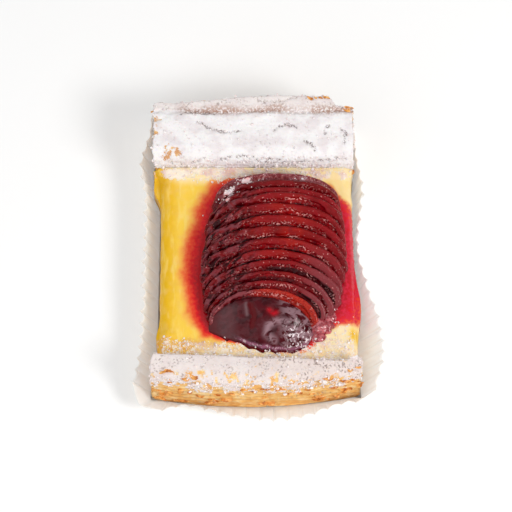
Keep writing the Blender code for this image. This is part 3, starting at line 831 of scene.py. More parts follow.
def border_rings(profile):
    """Sections of a border from cut side to cut side, each side closed by shrinking rings.

    Share by share, a section is the profile carried across between the two sides; beyond the
    ends it shrinks towards its middle at the same place across.
    """
    share = np.linspace(0.0, 1.0, int(BORDER_WIDTH / PASTRY_SPACING))
    sections = resample(profile(share), PASTRY_SPACING)
    depth, height = sections[..., 0], sections[..., 1]
    inset = foot_inset(height)
    left, right = left_side(depth) + inset, right_side(depth) - inset
    across = left + (right - left) * share[:, None]
    rings = np.stack([across, depth, height], axis=-1)
    shrink = np.linspace(1.0, 0.04, CUT_RINGS + 1)[1:, None, None]
    ends = []
    for last in (0, -1):
        middle = rings[last].mean(axis=0)
        middle[0] = 0.0
        flat = rings[last] * (0.0, 1.0, 1.0) - middle
        cut = np.broadcast_to(rings[last], (CUT_RINGS, *rings[last].shape)) * (1.0, 0.0, 0.0)
        ends.append(cut + middle + flat * shrink)
    return np.concatenate([ends[0][::-1], rings, ends[1]])


def pastry_surface(rings, sugar_foot, settings):
    """Rings with leaves on the upright faces and grainy sugar on top, and what they carry.

    Leaves and crags push the surface along its normal by the share of it that stands upright;
    the sugar adds clumps, and its cracks cut in.
    """
    across, depth, height = axes(rings)
    normal = normals(rings)
    side, ahead, up = axes(normal)
    outward, in_front = ahead * np.sign(depth), depth < 0
    upright = ease((0.85 - np.abs(up)) / 0.5)
    coarse, crease = leaves(rings, settings.leaf_pitch / MM, 3)
    fine, fine_crease = leaves(rings, settings.leaf_pitch / MM * 0.37, 11)
    crack = cracks(rings)
    bare = bare_spots(rings)
    ragged = height + 7.0 * rough(rings, 5.0, 4, 41) + 4.5 * rough(rings, 1.7, 2, 42)
    dusted = ease((ragged - sugar_foot) / 3.0) * (0.6 + 0.4 * (1 - crease))
    lying = ease((up - 0.15) / 0.5 + 0.3 * rough(rings, 3.0, 3, 43))
    inner = ease((height - CREAM_TOP - 0.5 + 1.2 * rough(rings, 3.0, 3, 45)) / 1.5)
    inner = inner * (ahead < -0.5) * (depth > 0)
    thin = 0.27 + 0.2 * rough(rings, (7.0, 4.0, 4.0), 3, 44)
    edge = ease((-depth - 54.0) / 3.0) * ease(0.2 + 2.2 * rough(rings, 1.7, 3, 46))
    thin = in_front * (thin + 0.34 * edge)
    sugar = np.clip(np.maximum(np.maximum(lying, dusted), inner) - 0.60 * bare - thin, 0, 1)
    clump = np.clip(rough(rings, 1.9, 3, 47) + 0.15, 0, 1)
    reach = settings.leaf_reach / MM
    push = upright * (1 - 0.6 * sugar) * (reach * (coarse - 0.45) + 0.35 * (fine - 0.4))
    push += sugar * (0.14 * rough(rings, 1.0, 2, 49) + 0.25 * rough(rings, 8.0, 2, 51))
    push += sugar * upright * (1.2 - 0.8 * inner) * clump - CRACK_DEPTH * crack - 0.5 * bare
    push -= upright * 0.35 * (outward > -0.5)
    moved = rings + normal * push[..., None]
    moved[..., 2] = np.maximum(moved[..., 2], BASE - 0.2)
    crumbs = sugar * (0.03 + upright * 0.55 + (up > 0.5) * 0.03)
    crumbs += 0.25 * bare * (up > 0)
    crumbs += 0.16 * sugar * ease((-depth - 55.0) / 2.0)
    fleck = 0.10 + in_front * (0.68 + 0.30 * ease((across + 10.0) / 30.0))
    above_paper = height > np.where(ahead < -0.5, 3.5, 14.0)
    flaky = (outward > 0.3) + 0.15 * (np.abs(side) > 0.6)
    return moved, {
        # the crack value cuts the cracks in, and paints grey shade into them
        "sugar": sugar, "crack": crack, "crumbs": crumbs * (ragged > 8),
        "groove": groove_share(rings), "bare": bare * (depth > 0),
        # behind the groove this adds painted shade to the rear leaf, which tilts away from the
        # light
        "fleck": fleck + 0.45 * ease((depth - GROOVE) / 1.5),
        # painted shade in the creases between the leaves
        "crease": upright * np.clip(0.5 * crease + 0.25 * fine_crease, 0, 1),
        "flaky": (1 - sugar) * crease * above_paper * flaky}


def floor_rings():
    """The pastry floor under the cream: slab sections across, carried from border to border."""
    depth = np.arange(FRONT_INNER - 1.4, BACK_INNER + 0.2, PASTRY_SPACING)
    rise = np.linspace(0.0, 1.0, 16)
    run = np.linspace(0.0, 1.0, 40)[1:-1]
    across = np.concatenate([rise * 0, run, rise * 0 + 1, run[::-1]])
    height = np.concatenate([rise, run * 0 + 1, rise[::-1], run * 0])
    height = BASE + (SHEET_TOP - BASE) * height
    left, right = left_side(depth)[:, None] + GAP, right_side(depth)[:, None] - GAP
    inset = foot_inset(height)
    width = left + inset + (right - left - 2 * inset) * across
    return np.stack([width, np.broadcast_to(depth[:, None], width.shape),
                     np.broadcast_to(height, width.shape)], axis=-1)


# name, outline and the height from which the upright faces are sugared
BORDERS = (("back_border", back_profile, 24.0), ("front_border", front_profile, 13.6))
NO_SUGAR = 60.0


def build_pastry(settings):
    """The two borders and the floor between them stand for the pastry's one solid."""
    finish = pastry_finish(settings)
    for name, profile, sugar_foot in BORDERS:
        rings, values = pastry_surface(border_rings(profile), sugar_foot, settings)
        skin(name, rings, finish, ["pastry_shell"], values)
    rings, values = pastry_surface(floor_rings(), NO_SUGAR, settings)
    values["sugar"] = values["sugar"] * 0
    values["crumbs"] = values["crumbs"] * 0
    skin("pastry_floor", rings, finish, ["pastry_shell"], values,
         closed="flat")


# ---- pastry cream ----------------------------------------------------------------------------

def fan(share, values):
    """A size of the fan at a share of the way from its rear end to its front."""
    return np.interp(share, FAN_AT, values)


def fan_feet():
    """Depth at which each slice stands, and that of the end piece behind its flat face."""
    shorter = ease((np.arange(SLICES) - FAN_EVEN) / 3.0)
    steps = FAN_STEP - (FAN_STEP - FAN_STEP_FRONT) * shorter
    return FAN_BACK - np.concatenate([[0.0], np.cumsum(steps)])


def footprint():
    """Closed outline of the fruit on the cream: left feet, heel, right feet, end piece."""
    share = np.linspace(0.0, 1.0, SLICES)
    feet = fan_feet()[:-1] - 1.5
    left = list(zip(fan(share, FAN_LEFT) + 0.4, feet))[::-1]
    right = list(zip(fan(share, FAN_RIGHT) - 0.4, feet))
    return [tuple(map(float, point)) for point in (*left, *HEEL_EDGE, *right, *CAP_EDGE)]


# direction from the fruit's middle, and how far the juice has run there
FRUIT_MIDDLE = (8.0, -4.0)
BLEED_AT = (0, 20, 33, 45, 90, 135, 180, 218, 232, 250, 270, 312, 326, 360)
BLEED = (16.0, 15.0, 9.0, 3.2, 3.2, 9.6, 11.5, 8.6, 5.0, 1.2, 1.2, 5.0, 15.0, 16.0)


def juice_share(points):
    """Distance in plan to the fruit, and the share of juice that has soaked in.

    The share is 1 at the fruit and 0 where the run, uneven by noise, ends.
    """
    across, depth, _ = axes(points)
    gap = plan_distance(across, depth, footprint())
    turn = np.degrees(np.arctan2(depth - FRUIT_MIDDLE[1], across - FRUIT_MIDDLE[0])) % 360
    run = np.interp(turn, BLEED_AT, BLEED) * (1.0 + 0.25 * rough(points, 6.0, 3, 81))
    return gap, np.clip(1.0 - gap / run, 0.0, 1.0)


# small heaps of cream at the left: across, depth, radius across, radius in depth, height
CREAM_HEAPS = ((-35.5, 28.0, 3.0, 3.4, 1.0), (-36.0, -38.0, 3.2, 3.0, 1.2))
# where the cream swells out of its cut sides: depth, half length, reach
SWELLS_LEFT = ((29.5, 5.5, 3.0), (-38.0, 5.0, 1.2))
SWELLS_RIGHT = ((-24.0, 11.0, 2.0),)


def cream_height(across, depth, plan):
    """Level cream that climbs the borders and the fruit, and drops in a round to the sides."""
    inner = front_inner((across - BORDER_LEFT) / (BORDER_RIGHT_FRONT - BORDER_LEFT))
    back = FILLET_BACK * np.clip(1 - (BACK_INNER - depth) / FILLET_BACK_WIDTH, 0, 1) ** 2
    front = FILLET_FRONT * np.clip(1 - (depth - inner) / FILLET_FRONT_WIDTH, 0, 1) ** 2
    left, right = across - left_side(depth) + 1e-6, right_side(depth) - across
    edge = np.clip(1.0 - np.minimum(left, right) / CREAM_EDGE, 0.0, 1.0)
    drop = CREAM_EDGE * (1.0 - np.sqrt(1.0 - 0.96 * edge ** 2))
    gap, _ = juice_share(plan)
    climb = 0.8 * np.exp(-np.clip(gap, 0, None) / 1.2) * (gap > -2.0)
    soft = 0.35 * rough(plan, (5.0, 14.0, 5.0), 3, 83) + 0.10 * rough(plan, 1.6, 2, 85)
    heap = sum(high * bell(across, x, wide) * bell(depth, y, deep)
               for x, y, wide, deep, high in CREAM_HEAPS)
    return CREAM_TOP - 0.25 + back + front - drop + climb + soft * ease(gap / 3.0) + heap


def cream_values(rings, plan, sides, inner, upright):
    """What the cream carries: golden and baked edges, juice, pale places, sugar and crumbs."""
    across, deep, _ = axes(plan)
    gap, juice = juice_share(plan)
    front, back = deep - inner, BACK_INNER - deep
    noise = rough(plan, 3.0, 3, 91)
    pale = np.maximum(ease((across - 10.0) / 16.0) * ease((-deep - 18.0) / 12.0),
                      0.9 * ease((11.0 - front) / 7.0) * ease((across + 30.0) / 10.0))
    pale = np.maximum(pale, 0.6 * ease((across - 22.0) / 10.0))
    pale = np.maximum(pale, 0.85 * ease((8.0 - back) / 5.0) * ease((across + 38.0) / 10.0))
    sugar = np.maximum(ease((11.0 - front) / 3.5 + 0.6 * noise) * 0.50,
                       ease((6.2 - back) / 5.0 + 0.7 * noise) * 0.66)
    foot = ease((2.6 - back) / 1.6) * ease((16.0 - across) / 8.0)
    corner = ease((across - 8.0) / 14.0) * ease((-deep - 28.0 + 4.0 * noise) / 12.0)
    sugar = np.maximum(np.maximum(sugar, foot * (0.74 + 0.3 * noise)), 0.50 * corner)
    sugar = sugar * (1 - upright * 0.7) * (gap > 0.2)
    golden = bell(across, 40.0, 3.0) * bell(deep, -37.0, 4.0)
    dots = 0.10 * ease((gap - 0.3) / 2.0) * ease((9.0 - gap) / 5.0) * (across < 0)
    dots = dots * ease(1.6 * rough(plan, 5.0, 2, 93) - 0.3)
    return {
        "edge": np.maximum(ease((9.0 - sides) / 6.0 + 0.4 * noise) * (across < 0), golden),
        "juice": juice, "rosy": ease((across - 30.0) / 6.0),
        "pale": np.clip(pale + 0.2 * noise - golden, 0, 1) * (1 - juice), "sugar": sugar,
        "baked": ease((11.0 - front) / 4.0 + 0.4 * noise) * (1 - 0.7 * pale),
        "crumbs": (sugar * 0.5 + dots) * (gap > 0.4) * (rings[..., 2] > CREAM_TOP - 2)}


def build_cream(settings):
    """Sections across, carried from the front border to the back one.

    A section runs up the left side, over the top and down the right side to a flat sole.
    """
    depth = np.arange(front_inner(1.0) + GAP, BACK_INNER + 0.2, CREAM_SPACING)
    even = np.linspace(0.0, 1.0, 176)
    top = 0.6 * even + 0.4 * (0.5 - 0.5 * np.cos(math.pi * even))
    rise = np.linspace(0.0, 1.0, 18)[:-1]
    share = np.concatenate([rise * 0, top, rise * 0 + 1])
    side = np.concatenate([rise, top * 0 + 1, rise[::-1]])
    swell_left, swell_right = (sum(reach * bell(depth, at, half) for at, half, reach in swells)
                               for swells in (SWELLS_LEFT, SWELLS_RIGHT))
    left, right = left_side(depth)[:, None], right_side(depth)[:, None]
    across = left - swell_left[:, None] * (1.0 - share) ** 4 + (right - left) * share
    across = across + swell_right[:, None] * share ** 4
    deep = np.broadcast_to(depth[:, None], across.shape)
    plan = np.stack([across, deep, across * 0], axis=-1)
    sole = SHEET_TOP + 0.1
    height = sole + (cream_height(across, deep, plan) - sole) * side
    rings = np.stack([across, deep, height], axis=-1)
    normal = normals(rings)
    upright = ease((0.8 - np.abs(normal[..., 2])) / 0.4)
    push = upright * (0.35 * rough(rings, 3.2, 3, 87) + 0.18 * rough(rings, 0.9, 2, 89) - 0.15)
    values = cream_values(rings, plan, np.minimum(across - left, right - across),
                          front_inner(share), upright)
    skin("cream_bed", rings + normal * push[..., None], cream_finish(settings),
         ["custard"], values, closed="flat")


# ---- fruit -----------------------------------------------------------------------------------

FACE_UP = np.array([0.0, math.sin(LEAN), math.cos(LEAN)])      # up along a leaning slice
FACE_OUT = np.array([0.0, -math.cos(LEAN), math.sin(LEAN)])    # towards the next one in front
ARCH_POINTS = 190
ARCH_OPEN = 0.31                # radians that a slice rounds in below its belly
RIM_WIDTH = 2.5                 # the smooth rim of a slice, and how far it stands proud
RIM_RISE = 0.06
RECESS = 0.60                   # its wet middle lies this far back
EDGE_ROUND = 0.7                # rounding of the edge, towards both faces
NEAR_ROWS, FAR_ROWS = 26, 8     # points down the front face, close together near the rim
NEAR_REACH = 7.0                # how far in from the edge the close ones reach


# the folds at the left run slantwise over the slices
FOLD_AXES = np.array([[0.7, -0.7, 0.0], [0.7, 0.7, 0.0], [0.0, 0.0, 1.0]])


def fan_place(points, middle, foot, turn):
    """Points (across, up the face, out of the face) set on the cream at a foot."""
    spot = (points[..., :1] * (1.0, 0.0, 0.0) + points[..., 1:2] * FACE_UP
            + points[..., 2:] * FACE_OUT)
    cos, sin = math.cos(turn), math.sin(turn)
    turned = np.stack([spot[..., 0] * cos - spot[..., 1] * sin,
                       spot[..., 0] * sin + spot[..., 1] * cos, spot[..., 2]], axis=-1)
    return turned + (middle, foot, SEAT)


def seated(points):
    """Points that sink in too far slide up along the leaning face, so no sole pokes forward."""
    short = np.clip(SEAT - SINK - points[..., 2], 0.0, None) / FACE_UP[2]
    return points + FACE_UP * short[..., None]


def slice_arch(number):
    """Edge of a slice across and up its face, from the right foot over the top to the left.

    It is a superellipse, widest at its belly, with a slow unevenness of its own.
    """
    share = (number - 1) / (SLICES - 1)
    half = (fan(share, FAN_RIGHT) - fan(share, FAN_LEFT)) / 2
    turn = np.linspace(-ARCH_OPEN, math.pi + ARCH_OPEN, ARCH_POINTS)
    cos, sin = np.cos(turn), np.sin(turn)
    power = np.where(cos > 0, 2 / fan(share, ROUND_RIGHT), 2 / ROUND_LEFT)
    across = half * np.sign(cos) * np.abs(cos) ** power
    reach = np.where(sin > 0, fan(share, FAN_HEIGHT) - BELLY, TUCK)
    up = BELLY + reach * np.sign(sin) * np.abs(sin) ** power
    spot = np.stack([across, up, np.full(across.shape, 17.0 * number)], axis=-1)
    left = ease((2.0 - across) / 20.0)
    uneven = 1.0 + (0.030 + 0.035 * left) * rough(spot, 8.0, 4, 101) - 0.010 - 0.01 * left
    return across * uneven, up * np.where(up > BELLY, uneven, 1.0)


def slice_section(length, thick, rim):
    """How far in from the arch and out of the face the points of a section lie.

    It runs from the chord up the back face, round the edge and down the front face, which has
    a smooth raised rim and a sunken middle.
    """
    into = np.concatenate([np.linspace(EDGE_ROUND, NEAR_REACH, NEAR_ROWS),
                           np.linspace(0.42, 1.0, FAR_ROWS)])
    inward = np.where(np.arange(len(into)) < NEAR_ROWS, into,
                      NEAR_REACH + (length - NEAR_REACH) * into)
    inward = np.minimum(np.maximum.accumulate(inward, axis=1), length)
    proud = RIM_RISE * bell(inward / rim, 0.45, 0.40)
    front = thick + proud - min(RECESS, 0.4 * thick) * ease((inward / rim - 0.85) / 0.30)
    round_at = np.radians(np.linspace(-80, 80, 9))
    half = thick / 2
    ones = np.ones(length.shape)
    back_in = np.minimum(np.concatenate([length, ones * 6.0, ones * 2.0], axis=1), length)
    edge_in = EDGE_ROUND - EDGE_ROUND * np.cos(round_at) ** 0.7
    edge_out = half + (half - 0.02) * np.sin(round_at)
    return (np.concatenate([back_in, ones * edge_in, inward], axis=1),
            np.concatenate([np.full(back_in.shape, 0.05), ones * edge_out, front], axis=1))


# sugar that has fallen on the rear left of the fruit: across and depth
SUGAR_PATH = ((-2.0, 27.6), (-6.0, 26.8), (-10.7, 22.9), (-13.4, 19.4))


def sugar_patch(points):
    """Share of sugar on the fruit: a path with ragged edges, thinner towards the left."""
    x, y, _ = axes(points)
    wander = 1.6 * rough(points, 3.0, 3, 125)
    broken = 0.62 + 0.5 * rough(points, 1.4, 2, 127)
    return (broken * near_path(x + wander, y - wander, SUGAR_PATH, 2.6)
            * ease((x + 18.0) / 8.0))


def build_slice(number, foot, next_foot, finish):
    """One slice: a closed section carried along its arch, from the arch in to the chord.

    Folds at the left, a fine ripple and a slow swell push its front out along the face; they
    and the distance in from the arch say where the rim, its painted sheen, the painted glints
    and the painted shadow lie.
    """
    share = (number - 1) / (SLICES - 1)
    turn = math.radians(1.1) * wave(share * 2.2, 23)
    foot = foot + 0.35 * wave(share * 3.1, 27)
    middle = (fan(share, FAN_LEFT) + fan(share, FAN_RIGHT)) / 2
    thick = (foot - next_foot) * math.cos(LEAN) - GAP
    across, up = slice_arch(number)
    chord = np.stack([across * 0.55, up * 0.0], axis=-1)
    arch = np.stack([across, up], axis=-1)
    length = np.linalg.norm(arch - chord, axis=-1)[:, None]
    along = np.stack([across, up, np.full(ARCH_POINTS, 29.0 * number)], axis=-1)
    wide = 0.7 * ease((across - 8.0) / 12.0) * ease((number - 7.0) / 3.0)
    rim = RIM_WIDTH * min(1.0, 0.28 + 0.27 * thick)
    rim = rim * (1.0 + wide + 0.85 * rough(along, 6.0, 4, 103))[:, None]
    distance, out = slice_section(length, thick, rim)
    flat = arch[:, None] + (chord - arch)[:, None] * (distance / length)[..., None]
    rings = fan_place(np.concatenate([flat, out[..., None]], axis=-1), middle, foot, turn)
    left_fold = ease((3.0 - rings[..., 0]) / 10.0)
    facing = ease((out / thick - 0.35) / 0.4)
    own = rings + (0.0, 0.0, 23.0 * number)
    fold = np.clip(1.0 - 4.6 * np.abs(rough(own @ FOLD_AXES, (5.5, 1.7, 3.0), 4, 111)), -1, 1)
    ripple = rough(own, (4.0, 1.3, 1.3), 3, 117)
    slow = rough(own, 8.0, 2, 113)
    in_flesh = ease((distance / rim - 0.9) / 0.3)
    push = facing * (fold * (0.04 + 0.62 * left_fold) + 0.14 * ripple + 0.4 * slow
                     + 0.30 * in_flesh * rough(own, 1.0, 2, 119))
    rings = seated(rings + (FACE_OUT * 0.85 + FACE_UP * 0.5) * push[..., None])
    x, y, _ = axes(rings)
    ridge = ease((rim - distance + 1.3 * ripple + 0.3) / 0.6) * facing
    ridge = ridge + left_fold * facing * (0.6 * ease(fold * 1.4) - ease(0.30 - 1.2 * fold))
    # painted glints along the inner edge of the rim
    beads = bell(distance, rim + 0.3, 0.6) * facing
    beads = beads * ease(0.55 + 1.4 * rough(own, 5.0, 2, 121)) * (1.0 - 0.6 * left_fold)
    seen = 0.92 * (foot - next_foot)
    shadow = facing * np.maximum(ease((distance / seen - 0.74) / 0.22),
                                 0.9 * left_fold * ease((0.1 - fold) / 0.6))
    shadow = shadow * ease(0.80 + 1.1 * rough(own, 7.0, 2, 123))
    front_most = ease((number - SLICES + 1.0)) * ease((x + 4.0) / 8.0)
    glow = bell(x, 12.0, 15.0) * bell(y, 3.0, 17.0) * ease(0.7 + 0.8 * slow)
    top_left = facing * sugar_patch(rings)
    values = {"rim": np.clip(ridge, 0, 1), "beads": beads, "glow": np.maximum(glow, front_most),
              "left": left_fold, "shadow": shadow * (1.0 - 0.8 * front_most),
              "warm": front_most * facing,
              # painted sheen: mauve on the broad rims at the right of the front slices, and a
              # grey-mauve painted highlight on the left of the last slice
              "mauve": np.clip(wide[:, None] * ridge, 0, 1) * (1.0 - front_most)
              + 0.9 * ridge * (number == SLICES) * ease((3.0 - x) / 8.0),
              "tone": lattice(np.array([[number, 0, 0]]), 9),
              "frost": top_left, "crumbs": top_left * 0.3 * (distance < 5)}
    name = f"fruit_slice_{number:02d}"
    skin(f"{name}_flesh", rings, finish, [name], values, closed="flat")


def dome(middle, foot, half, height, front_depth, back_depth, slant, tips, turn, rows, count):
    """A rounded end of the fruit: half an ellipsoid out of the face, half behind it.

    The angle from straight out of the face and the angle round it give the point; the tips
    are raised to a power that makes them pointed or full, and slant deepens the right half.
    """
    polar = np.linspace(0.02, math.pi - 0.02, rows)[:, None]
    round_it = np.linspace(0.0, 2 * math.pi, count, endpoint=False)[None, :]
    x = np.sin(polar) * np.cos(round_it)
    depth = np.where(np.cos(polar) > 0, front_depth, back_depth)
    out = np.cos(polar) * depth * (1.0 + slant * x)
    across = np.sign(x) * np.abs(x) ** np.where(x > 0, tips[1], tips[0]) * half
    up = np.sin(polar) * np.sin(round_it) * height
    return fan_place(np.stack([across, up, out], axis=-1), middle, foot, turn)


def build_heel(foot, next_foot, finish):
    """The rear end of the fruit, which shows its cut face only at its upper edge."""
    left, right = FAN_LEFT[0], FAN_RIGHT[0]
    thick = (foot - next_foot) * math.cos(LEAN) - GAP
    rings = dome((left + right) / 2, foot, (right - left) / 2, FAN_HEIGHT[0], thick, HEEL_DEPTH,
                 0.0, (CAP_FULL, CAP_FULL), 0.0, 70, 150)
    fold = rough(rings, (3.4, 2.4, 2.4), 4, 111)
    rings = seated(rings + normals(rings) * (0.45 * fold)[..., None])
    top_left = sugar_patch(rings)
    # the heel has painted glints all over and painted mauve sheen on its crests
    skin("fruit_heel_flesh", rings, finish, ["fruit_slice_01"], {
        "rim": ease(0.75 + 0.8 * fold), "glow": 0.0, "beads": 0.15, "left": 1.0, "warm": 0.0,
        "mauve": 0.6 * ease(0.7 + fold), "shadow": 0.0, "tone": 0.5,
        "frost": np.maximum(top_left, 0.36), "crumbs": top_left * 0.4})


# marks of the end piece, across and depth: the streak and the notch are its own; the grey
# strip is a painted sheen and the swirl carries a painted reflection
STREAK = ((-1.8, -28.1), (-0.2, -32.4), (-1.0, -36.0))
GREY_STRIP = ((-3.4, -27.4), (-3.1, -31.8))
NOTCH = ((5.6, -30.4), (7.4, -32.0), (8.6, -31.6))
SWIRL = ((12.6, -35.2), (8.4, -34.6), (5.2, -36.4), (4.4, -39.2), (7.4, -41.6))


def build_cap(foot, finish):
    """The glossy end piece in front, with soft folds, a wine-red streak and a notch."""
    rings = dome((CAP_LEFT + CAP_RIGHT) / 2, foot, (CAP_RIGHT - CAP_LEFT) / 2, CAP_HEIGHT,
                 CAP_DEPTH, 0.3, CAP_SLANT, (CAP_POINT, CAP_FULL), CAP_TURN, 110, 200)
    fold = rough(rings, (6.0, 7.0, 5.0), 4, 131)
    crest = 1.0 - np.abs(rough(rings, (5.0, 9.0, 6.0), 2, 137))
    across, depth, _ = axes(rings)
    wavy = across + 0.5 * fold
    streak = ease(1.6 * near_path(wavy, depth, STREAK, 1.3) - 0.3)
    notch = near_path(wavy, depth, NOTCH, 0.9)
    around_notch = near_path(wavy, depth, NOTCH, 1.9) - notch
    notch = notch * ease(0.7 + 1.2 * rough(rings, 1.3, 2, 139))
    swirl = near_path(wavy, depth + 0.5 * fold, SWIRL, 1.5)
    push = 0.4 * fold + 0.9 * (crest - 0.7) - 0.4 * streak - 0.7 * notch + 0.35 * swirl
    rings = seated(rings + normals(rings) * push[..., None])
    above = rings[..., 2] - SEAT
    # lighter towards the right: a painted reflection
    right = ease((across - 7.0 + 3.0 * fold) / 7.0)
    line = bell(above - 0.4 * fold, 1.3, 0.45) * ease((across + 9.0) / 6.0)
    glints = ease((across - 10.0 + 3.0 * fold) / 5.0) * ease((-depth - 34.5) / 3.0)
    # painted shade: darker along the lower edge, where the end piece sits in the cream, and at the
    # left tip
    painted_shade = np.maximum(ease((0.7 - above) / 0.7), ease((-across - 12.0 + 2.0 * fold) / 5.0) * 0.6)
    skin("fruit_end_glazed", rings, finish, ["fruit_cap"], {
        # wine holds the real streak, the painted shade and a dark ring round the notch
        "wine": np.clip(streak + painted_shade + 0.9 * around_notch, 0, 1), "bright": notch,
        # painted reflection on the right and along the swirl
        "cloudy": 0.7 * right + 0.06, "swirl": swirl, "line": line,
        # white at the lower right: sugar and painted glints; also white along the lower edge line
        "frost": np.maximum(0.85 * glints, 0.5 * line),
        # painted sheen: a grey strip and the left flank
        "grey": near_path(wavy, depth, GREY_STRIP, 0.6) + 0.35 * ease((-across - 5.0) / 5.0)})


def build_fruit(settings):
    """The heel, the leaning slices and the end piece."""
    feet = fan_feet()
    flesh = flesh_finish(settings)
    build_heel(feet[0], feet[1], flesh)
    for number in range(2, SLICES + 1):
        build_slice(number, feet[number - 1], feet[number], flesh)
    build_cap(feet[SLICES], skin_finish(settings))


# ---- fine toppings ---------------------------------------------------------------------------

GRAIN_SEED, FLAKE_SEED = 7, 19


def icosahedron():
    """The twelve corners and twenty faces of a regular icosahedron of radius 1."""
    golden = (1 + math.sqrt(5)) / 2
    corners = np.array([(-1, golden, 0), (1, golden, 0), (-1, -golden, 0), (1, -golden, 0),
                        (0, -1, golden), (0, 1, golden), (0, -1, -golden), (0, 1, -golden),
                        (golden, 0, -1), (golden, 0, 1), (-golden, 0, -1), (-golden, 0, 1)])
    faces = np.array([(0, 11, 5), (0, 5, 1), (0, 1, 7), (0, 7, 10), (0, 10, 11), (1, 5, 9),
                      (5, 11, 4), (11, 10, 2), (10, 7, 6), (7, 1, 8), (3, 9, 4), (3, 4, 2),
                      (3, 2, 6), (3, 6, 8), (3, 8, 9), (4, 9, 5), (2, 4, 11), (6, 2, 10),
                      (8, 6, 7), (9, 8, 1)])
    return corners / np.linalg.norm(corners[0]), faces


def read(items, label, width, kind=float):
    """A property of a mesh's items as an array, with one row for each item."""
    flat = np.empty(len(items) * width, dtype=kind)
    items.foreach_get(label, flat)
    return flat.reshape(-1, width)


def scatter_spots(names, label, count, random):
    """Random points of the named pieces and their normals, by the share that a value gives."""
    places, directions, weights = [], [], []
    for name in names:
        mesh = bpy.data.objects[name].data
        places.append(read(mesh.vertices, "co", 3) / MM - ORIGIN)
        directions.append(read(mesh.vertex_normals, "vector", 3))
        weight = read(mesh.attributes[label].data, "value", 1, np.float32).ravel()
        weights.append(np.clip(weight, 0, None))
    weights = np.concatenate(weights)
    chosen = random.choice(len(weights), count, p=weights / weights.sum())
    return np.concatenate(places)[chosen], np.concatenate(directions)[chosen]


def build_grains(settings):
    """Clumps of powdered sugar: icosahedra pushed in and out at each corner, and flattened."""
    random = np.random.default_rng(GRAIN_SEED)
    count = settings.grains
    carriers = ["front_border", "back_border", "cream_bed", "fruit_heel_flesh"]
    carriers += [f"fruit_slice_{number:02d}_flesh" for number in range(2, SLICES + 1)]
    spots, normal = scatter_spots(carriers, "crumbs", count, random)
    corners, faces = icosahedron()
    size = settings.grain_size / MM * np.exp(0.45 * random.standard_normal(count))
    uneven = random.uniform(0.65, 1.25, (count, len(corners), 1))
    grains = corners * uneven * size[:, None, None] / 2 * random.uniform(0.7, 1.2, (count, 1, 3))
    jitter = random.uniform(-0.25, 0.25, (count, 3))
    grains = grains + (spots + jitter + normal * (size * 0.25)[:, None])[:, None]
    joined = (faces + np.arange(count)[:, None, None] * len(corners)).reshape(-1, 3)
    add_piece("sugar_grains", grains.reshape(-1, 3), joined.tolist(), grain_finish(settings),
              smooth=False)


# a loose leaf: points round it, radii of its rings, width by length, thickness in millimetres
FLAKE_POINTS, FLAKE_RADII, FLAKE_WIDTH, FLAKE_THICKNESS = 12, (0.25, 0.65, 1.0), 0.55, 0.16


def flake_shapes(spots, outward, size, random):
    """Thin curled leaves: a disc of rings, wavy at its edge, bent along its length.

    Angle and radius give a point of the disc; its edge swells and draws in by two sines, it
    bends as the square of its length, and its underside is the same disc set lower.
    """
    count, layers = len(spots), 2 * len(FLAKE_RADII)
    angle = np.linspace(0, 2 * math.pi, FLAKE_POINTS, endpoint=False)
    phase = random.uniform(0, 2 * math.pi, (count, 2, 1, 1))
    swell = 1 + 0.22 * np.sin(2 * angle + phase[:, 0]) + 0.16 * np.sin(3 * angle + phase[:, 1])
    radius = np.array(FLAKE_RADII + FLAKE_RADII[::-1])[None, :, None]
    x = radius * swell * np.cos(angle)
    y = FLAKE_WIDTH * radius * swell * np.sin(angle)
    curl = random.uniform(-0.35, 0.35, (count, 1, 1))
    side = np.repeat([0.5, -0.5], len(FLAKE_RADII))[None, :, None]
    thin = FLAKE_THICKNESS / size[:, None, None]
    z = curl * x ** 2 + 0.2 * np.sin(3 * x + phase[:, 0]) * y + side * thin
    local = np.stack([x, y, np.broadcast_to(z, x.shape)], axis=-1) * size[:, None, None, None]
    along = np.cross(outward, (0.0, 0.0, 1.0))
    along /= np.linalg.norm(along, axis=-1, keepdims=True) + 1e-9
    tilt = random.uniform(-0.5, 0.5, (count, 1))
    up = np.array([0.0, 0.0, 1.0]) + outward * tilt + along * random.uniform(-0.3, 0.3, (count, 1))
    up /= np.linalg.norm(up, axis=-1, keepdims=True)
    turned = np.stack([along, np.cross(up, along), up], axis=1)
    placed = np.einsum("nrak,nkj->nraj", local, turned) + spots[:, None, None]
    faces = ring_faces(layers, FLAKE_POINTS, "flat")
    shift = np.arange(count)[:, None, None] * (layers * FLAKE_POINTS)
    joined = []
    for corners in (4, FLAKE_POINTS):
        alike = np.array([face for face in faces if len(face) == corners])
        joined += (alike + shift).reshape(-1, corners).tolist()
    return placed.reshape(-1, 3), joined


# leaves that have curled up where the rear leaf has broken off: across, depth, height
FLAKE_SPOTS = (
    (22.6, 63.6, 28.4), (24.8, 64.0, 28.3), (26.8, 64.0, 28.4), (28.6, 64.2, 28.4),
    (29.8, 64.0, 28.4), (34.6, 60.0, 27.2), (36.4, 59.6, 27.2), (37.6, 59.0, 27.0),
)


